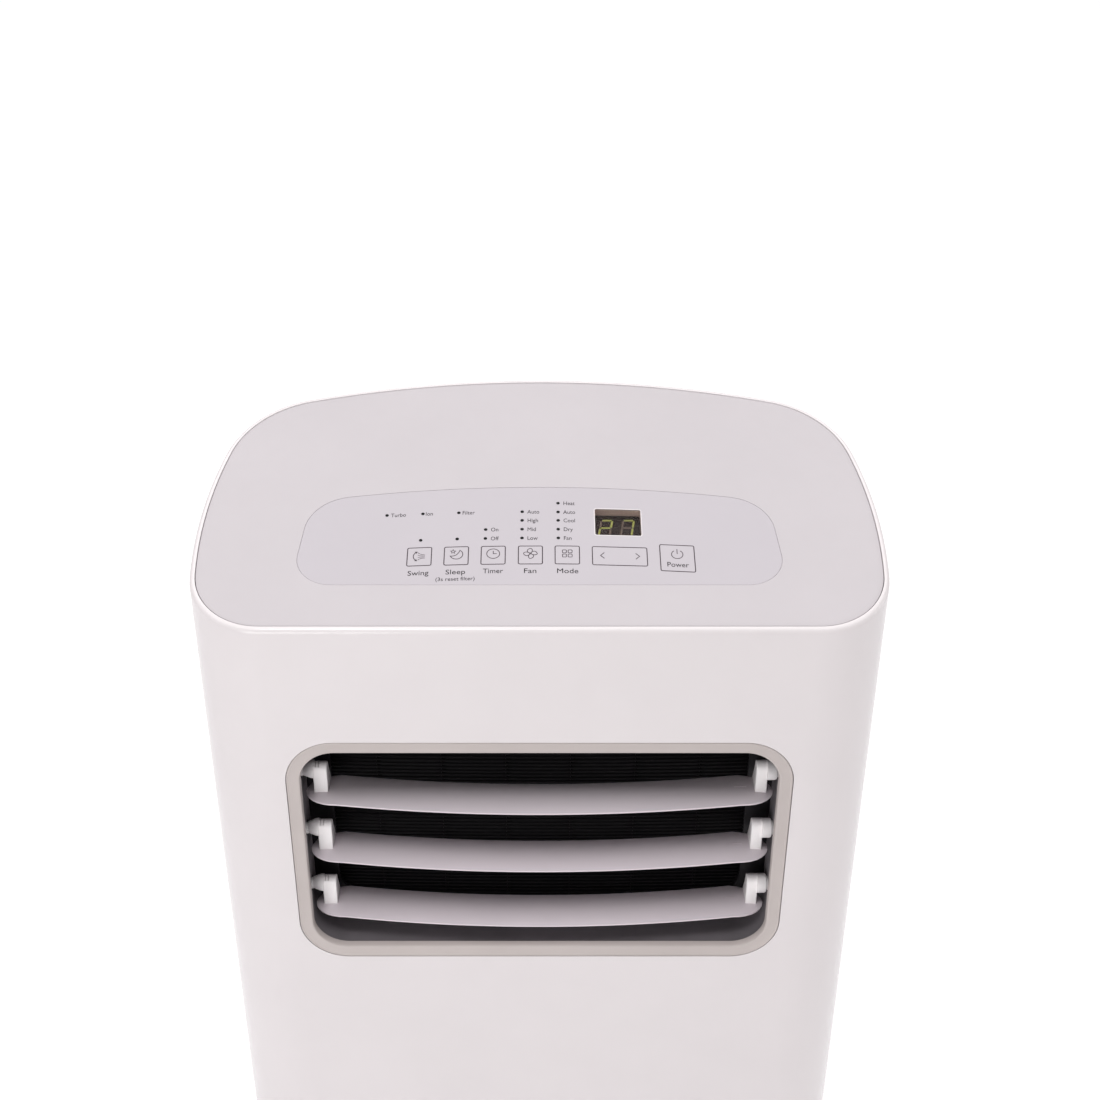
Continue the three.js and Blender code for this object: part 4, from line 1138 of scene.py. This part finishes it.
def make_grille():
    """The black grille at the back of the channel: a bowed field of fine ribs in a plain border, with a black
    sheet behind them as painted shade.
    """
    band = RING["band"]
    half_w, half_h = RING["half_width"] - band, RING_HALF_HEIGHT - band
    lap = DUCT_EASE + 2.5
    border = rounded_box(0, RING_Z, half_w + lap, half_h + lap, RING["radius"] - band + lap, 12)
    field = rounded_box(0, RING_Z, FIELD_HALF, half_h - FIELD_MARGIN, FIELD_R, 14)
    plate = Shape().stack(border, straight(-60.8, -56.6), along_y)
    opening = Shape().stack(field, straight(-63, -55), along_y)
    piece("grille_border", plate, "duct_dark", slot="black_plastic", replaces=["outlet_grille"],
          cuts=[opening], bevel=0.8)
    ribs = make_ribs(RING_Z - half_h + FIELD_MARGIN, RING_Z + half_h - FIELD_MARGIN)
    piece("grille_ribs", ribs, "black_plastic")
    # A black sheet behind the ribs: painted shade of the dark inside of the body.
    painted_shade_sheet = Shape().block(-136, 136, -56.4, -55.4, RING_Z - half_h, RING_Z + half_h)
    piece("grille_painted_shade", painted_shade_sheet, "black_plastic")


BLADE = {
    "centre_y": 789.5, "front_r": 890.0, "rear_r": 862.5,
    "cap_start": 122.0, "cap_reach": 20.2, "skew": 4.0, "crown": 12.5,
}


def blade_outline(inset=0.0):
    """The plan of a louvre blade: two arcs with round ends."""
    b = BLADE
    front_r, rear_r = b["front_r"] - inset, b["rear_r"] + inset
    middle_r, half = (front_r + rear_r) / 2, (front_r - rear_r) / 2

    def on_arc(r, x):
        return b["centre_y"] - sqrt(r * r - x * x)

    xs = spread(-b["cap_start"], b["cap_start"], 28)
    cap = []
    for t in spread(-pi / 2, pi / 2, 14)[1:-1]:
        x = b["cap_start"] + (b["cap_reach"] - inset) * cos(t)
        cap.append((x, on_arc(middle_r, x) + half * sin(t) - b["skew"] * cos(t)))
    front = [(x, on_arc(front_r, x)) for x in xs]
    rear = [(x, on_arc(rear_r, x)) for x in reversed(xs)]
    return front + cap + rear + mirrored(cap)


ARM = {"half": 4.2, "back": 1.3, "drop": 16.6, "flare": 8.0}


def make_louvres():
    """The three blades, each crowned on top and carried by an arm at either end."""
    for number, name in enumerate(LOUVRES):
        y, z = PIVOT_Y, PIVOT_Z - number * PITCH
        body = name + "_louvre"
        low, high = z - 17.5, z - 14.8
        levels = [(0.7, low), (0.2, low + 0.2), (0.0, low + 0.5), (0.0, low + 1.3)]
        for inset in (0.4, 1.5, 3.5, 6.0, 9.0, BLADE["crown"]):
            levels.append((inset, high - (high - low - 1.35) * (1 - inset / BLADE["crown"]) ** 2))
        blade = Shape().stack(blade_outline, levels)
        groove = Shape().block(119, 126, y + 1.2, y + 2.0, high - 0.35, high + 1)
        # The blade's lowered white is painted shade under the ring.
        piece(f"{name}_blade", blade, "louvre_white", body, replaces=["louvre_" + name], cuts=[groove])
        make_left_arm(name, body, y, z)
        make_right_arm(name, body, y, z)


def arm_outline(y, z, top):
    """The side view of an arm: a web that narrows from the blade to a round top over the pivot."""
    def outline(inset=0.0):
        h = ARM["half"] - inset
        middle, low = y + ARM["back"], z - ARM["drop"]
        dome = arc(middle, z + top - ARM["half"], h, 0, pi, 14)
        return [(middle - h, low), (middle + h + ARM["flare"], low), (middle + h + 1.5, z - 3.0), *dome]
    return outline


def make_left_arm(name, body, y, z):
    """The left arm: a web with two grooves over its top and a tapered hub."""
    post = Shape().stack(arm_outline(y, z, 4.8), soft_levels(-137.0, -128.5, 0.5), along_x)
    grooves = Shape()
    for x in (-135.6, -133.8):
        grooves.block(x, x + 0.6, y - 12, y + 12, z + 3.3, z + 12)
    end = -CHEEK_X + 0.4
    taper = [(2.4, end), (1.9, end + 0.5), (0.8, -140.0), (0.2, -138.4), (0, -136.6)]
    hub = Shape().stack(circle(y + 0.5, z + 0.2, 5.6, 28), taper, along_x)
    hub.stack(circle(y, z, 3.6, 28), [(0.4, end - 2.2), (0, end - 1.8), (0, end + 0.4)], along_x)
    # The arm and hub use the lighter louvre white: painted light.
    piece(f"{name}_arm_left", post, "louvre_arm_painted_light", body, slot="louvre_white", cuts=[grooves])
    piece(f"{name}_hub_left", hub, "louvre_arm_painted_light", body, slot="louvre_white")


def make_right_arm(name, body, y, z):
    """The right arm: a smooth web with a wide round hub."""
    post = Shape().stack(arm_outline(y, z, 5.6), soft_levels(131.0, 138.0, 0.6), along_x)
    end = CHEEK_X - 0.6
    levels = [(0, 137.5), (0, end - 1.2), (0.5, end - 0.3), (1.2, end)]
    hub = Shape().stack(circle(y, z, 6.2, 32), levels, along_x)
    hub.stack(circle(y, z, 4.4, 28), [(0, end - 0.5), (0, end + 2.0), (0.4, end + 2.4)], along_x)
    # The arm and hub use the lighter louvre white: painted light.
    piece(f"{name}_arm_right", post, "louvre_arm_painted_light", body, slot="louvre_white")
    piece(f"{name}_hub_right", hub, "louvre_arm_painted_light", body, slot="louvre_white")


# ---------------------------------------------------------------- back

def curved_bar(shape, x0, x1, section, steps=20):
    """A bar that follows the curved back. Its section is (depth under the surface, z)."""
    rings = [[Vector((x, rear_y(x) - depth, z)) for depth, z in section] for x in spread(x0, x1, steps)]
    return shape.sweep(rings)


def rounded_section(depth0, depth1, z0, z1, r=0.5, lean=0.0):
    """A section with round corners that may lean towards the back."""
    middle, half = ((depth0 + depth1) / 2, (z0 + z1) / 2), ((depth1 - depth0) / 2, (z1 - z0) / 2)
    outline = rounded_box(*middle, *half, r, 3)()
    return [(d, z + lean * (d - depth0)) for d, z in outline]


def make_slatted_panel(name, panel, body, pitch):
    """A frame with two fields of leaning slats, all following the back."""
    half, bottom, top = panel["half_width"], panel["bottom"], panel["top"]
    margin = 10.0
    field = half - 1.5 * margin
    rim = Shape()
    for z0, z1 in ((bottom, bottom + margin), (top - margin, top)):
        curved_bar(rim, -half, half, rounded_section(0, WALL, z0, z1))
    for x0, x1 in ((-half, -half + margin), (-margin / 2, margin / 2), (half - margin, half)):
        curved_bar(rim, x0, x1, rounded_section(0.02, WALL - 0.02, bottom + 1, top - 1), 4)
    slats = Shape()
    count = round((top - bottom - 2 * margin) / pitch)
    step = (top - bottom - 2 * margin) / count
    for k in range(count):
        z = bottom + margin + (k + 0.5) * step
        section = rounded_section(0.35, WALL + 1.6, z - 1.2, z + 1.2, 0.9, -0.9)
        for x0 in (-half + margin - 1, margin / 2 - 1):
            curved_bar(slats, x0, x0 + field + 2, section, 12)
    piece(f"{name}_frame", rim, "gloss_white", body, replaces=[name])
    piece(f"{name}_slats", slats, "gloss_white", body)


def make_filter():
    """The washable filter behind the upper cover: a frame and a net of fine threads."""
    half, bottom, top = COVER["half_width"] - 5, COVER["bottom"] + 6, COVER["top"] - 6
    middle = (top + bottom) / 2
    border = 5
    outline = rounded_box(0, middle, half, (top - bottom) / 2, 5, 5)
    outer = [(0.4, 79.0), (0, 79.4), (0, 82.6), (0.4, 83.0)]
    inner = [(7, 83.0), (7.4, 82.6), (7.4, 79.4), (7, 79.0)]
    rim = Shape().stack(outline, outer + inner, along_y, closed=True)
    for x in (-half / 3, half / 3):
        rim.block(x - 3, x + 3, 79.2, 82.8, bottom + border, top - border)
    rim.block(-half + border, half - border, 79.3, 82.7, middle - 3, middle + 3)
    piece("filter_frame_moulding", rim, "filter_grey", "filter_door", replaces=["filter_frame"])
    net = Shape()
    pitch, thread = 3.0, 0.28
    for k in range(1, int((2 * half - 2 * border) / pitch)):
        x = -half + border + k * pitch
        net.block(x - thread, x + thread, 80.7, 81.1, bottom + border, top - border)
    for k in range(1, int((top - bottom - 2 * border) / pitch)):
        z = bottom + border + k * pitch
        net.block(-half + border, half - border, 81.05, 81.45, z - thread, z + thread)
    piece("filter_net", net, "filter_grey", "filter_door")


def make_collar():
    """The hose collar: a round flange with a stepped bore and four bayonet notches."""
    flange = [(0, 95), (0, 99.6), (0.5, 100.9), (1.6, 101.6), (3.0, 101.7), (5.0, 101.2)]
    bead = [(6.5, 100.2), (9.0, 99.8), (11.0, 100.4), (12.2, 101.3), (13.2, 101.4), (13.9, 100.8)]
    bore = [(14.0, 99.5), (14.0, 80.3), (10.0, 80.3), (10.0, 95)]
    collar = Shape().stack(circle(0, COLLAR_Z, COLLAR_R, 72), flange + bead + bore, along_y, closed=True)
    notches = []
    for k in range(4):
        angle = radians(45 + 90 * k)
        x, z = NOTCH_OUT * cos(angle), COLLAR_Z + NOTCH_OUT * sin(angle)
        notches.append(Shape().stack(circle(x, z, 4.5, 20), straight(98.0, 104), along_y))
    piece("hose_collar", collar, "gloss_white", replaces=["exhaust_collar"], cuts=notches)


def make_plugs():
    """The rubber drain plugs, each with a ridged stem and a flat grip."""
    for name, (x, z, back) in PLUGS.items():
        cap = Shape().stack(circle(x, z, PLUG_R, 36), soft_levels(back - 5, back, 1.2), along_y)
        cap.stack(circle(x, z, 7.6, 28), [(0.8, back - 16), (0, back - 15), (0, back - 4)], along_y)
        for depth in (12.5, 9.5):
            y = back - depth
            cap.stack(circle(x, z, 8.1, 28), [(0.5, y - 0.7), (0, y), (0.5, y + 0.7)], along_y)
        outline = rounded_box(x, z, 9, 1.5, 1.2, 4)
        grip = Shape().stack(outline, soft_levels(back - 1, back + 3, 0.8, False), along_y)
        body = name + "_plug"
        piece(f"{name}_plug_cap", cap, "rubber", body, replaces=["drain_plug_" + name])
        piece(f"{name}_plug_grip", grip, "rubber", body)


def make_gland():
    """The sleeve where the cord would leave the back, with two rings round it."""
    x, z = GLAND
    wall = rear_y(x)
    flange = [(0, -9.3), (0, 1.2), (0.8, 2), (2.4, 2.1)]
    rings = [(2.7, 3.2), (3.2, 3.4), (3.0, 4.8), (3.4, 5.0), (3.2, 6.4)]
    mouth = [(3.8, 7.6), (4.4, 8), (5.4, 7.6), (5.4, -9.3)]
    section = [(inset, wall + out) for inset, out in flange + rings + mouth]
    sleeve = Shape().stack(circle(x, z, GLAND_R, 36), section, along_y, closed=True)
    piece("cord_gland_sleeve", sleeve, "black_plastic", replaces=["cord_gland"])


# ---------------------------------------------------------------- casters

def make_fork(name, x, y):
    """A swivel plate with its stem, two cheeks and the axle."""
    axle = y + TRAIL
    fork = Shape()
    fork.stack(circle(x, y, 4.4, 20), soft_levels(44, 55, 0.5))
    fork.stack(circle(x, y, 14, 32), soft_levels(40.0, 46.7, 1.2))
    cheek = tangent_outline([(axle, WHEEL_R, 7.0, 10), (y + 2, 40.0, 11.0, 8), (y - 4.5, 39.0, 5.0, 8)])
    for side in (-1, 1):
        x0, x1 = sorted((x + side * (WHEEL_HALF + 0.8), x + side * (WHEEL_HALF + 3)))
        fork.stack(cheek, soft_levels(x0, x1, 0.6, steps=2), along_x)
        x0, x1 = sorted((x + side * (WHEEL_HALF + 2.5), x + side * (WHEEL_HALF + 3.8)))
        fork.stack(circle(axle, WHEEL_R, 3.6, 20), soft_levels(x0, x1, 0.5, steps=2), along_x)
    fork.stack(circle(axle, WHEEL_R, 3.0, 20), straight(x - WHEEL_HALF - 2, x + WHEEL_HALF + 2), along_x)
    piece(f"{name}_fork", fork, "black_plastic", "fork_" + name, replaces=["caster_fork_" + name])


def lathe(x, y, radius, steps, half_section):
    """A ring round the axle. The section lists (inset, distance from the middle plane) on one side."""
    section = [(inset, x - out) for inset, out in half_section]
    section += [(inset, x + out) for inset, out in reversed(half_section)]
    return Shape().stack(circle(y + TRAIL, WHEEL_R, radius, steps), section, along_x, closed=True)


def make_wheel(name, x, y):
    """A rubber tyre with a groove round its middle, on a grey hub."""
    half = WHEEL_HALF
    shoulder = [(5.6, half - 0.6), (2.4, half), (1.0, half - 0.3), (0.2, half - 1.4), (0, half - 3)]
    shape = lathe(x, y, WHEEL_R, 56, [*shoulder, (0, 0.9), (0.7, 0.5)])
    piece(f"{name}_tyre", shape, "rubber", "wheel_" + name, replaces=["caster_wheel_" + name])
    hub = [(0.3, half - 0.9), (2.2, half - 2.4), (6.4, half - 2.4), (7.2, half - 0.5), (9.1, half - 0.4)]
    piece(f"{name}_hub", lathe(x, y, HUB_R, 44, hub), "hub_grey", "wheel_" + name, slot="rubber")


def make_casters():
    for name, (x, y) in CASTERS.items():
        make_fork(name, x, y)
        make_wheel(name, x, y)


# ---------------------------------------------------------------- the rest

def dress_inner_parts():
    """Gives the CAD nodes that stay their procedural materials, by their slot in the record."""
    slots = {row["node"]: row["material_slot"] for row in frame["record"]["subparts"]}
    for name, node in frame["nodes"].items():
        node.data.materials.clear()
        node.data.materials.append(M[slots[name]])


make_camera()
M = make_materials()
make_stage()
make_front_housing()
make_rear_housing()
make_handles()
make_base()
make_deck()
make_overlay()
make_keys()
make_legends()
make_display()
make_ring()
make_duct()
make_grille()
make_louvres()
make_slatted_panel("filter_cover", COVER, "filter_door", 6.6)
make_slatted_panel("lower_grille", GRILLE, "casing", 7.2)
make_filter()
make_collar()
make_plugs()
make_gland()
make_casters()
dress_inner_parts()
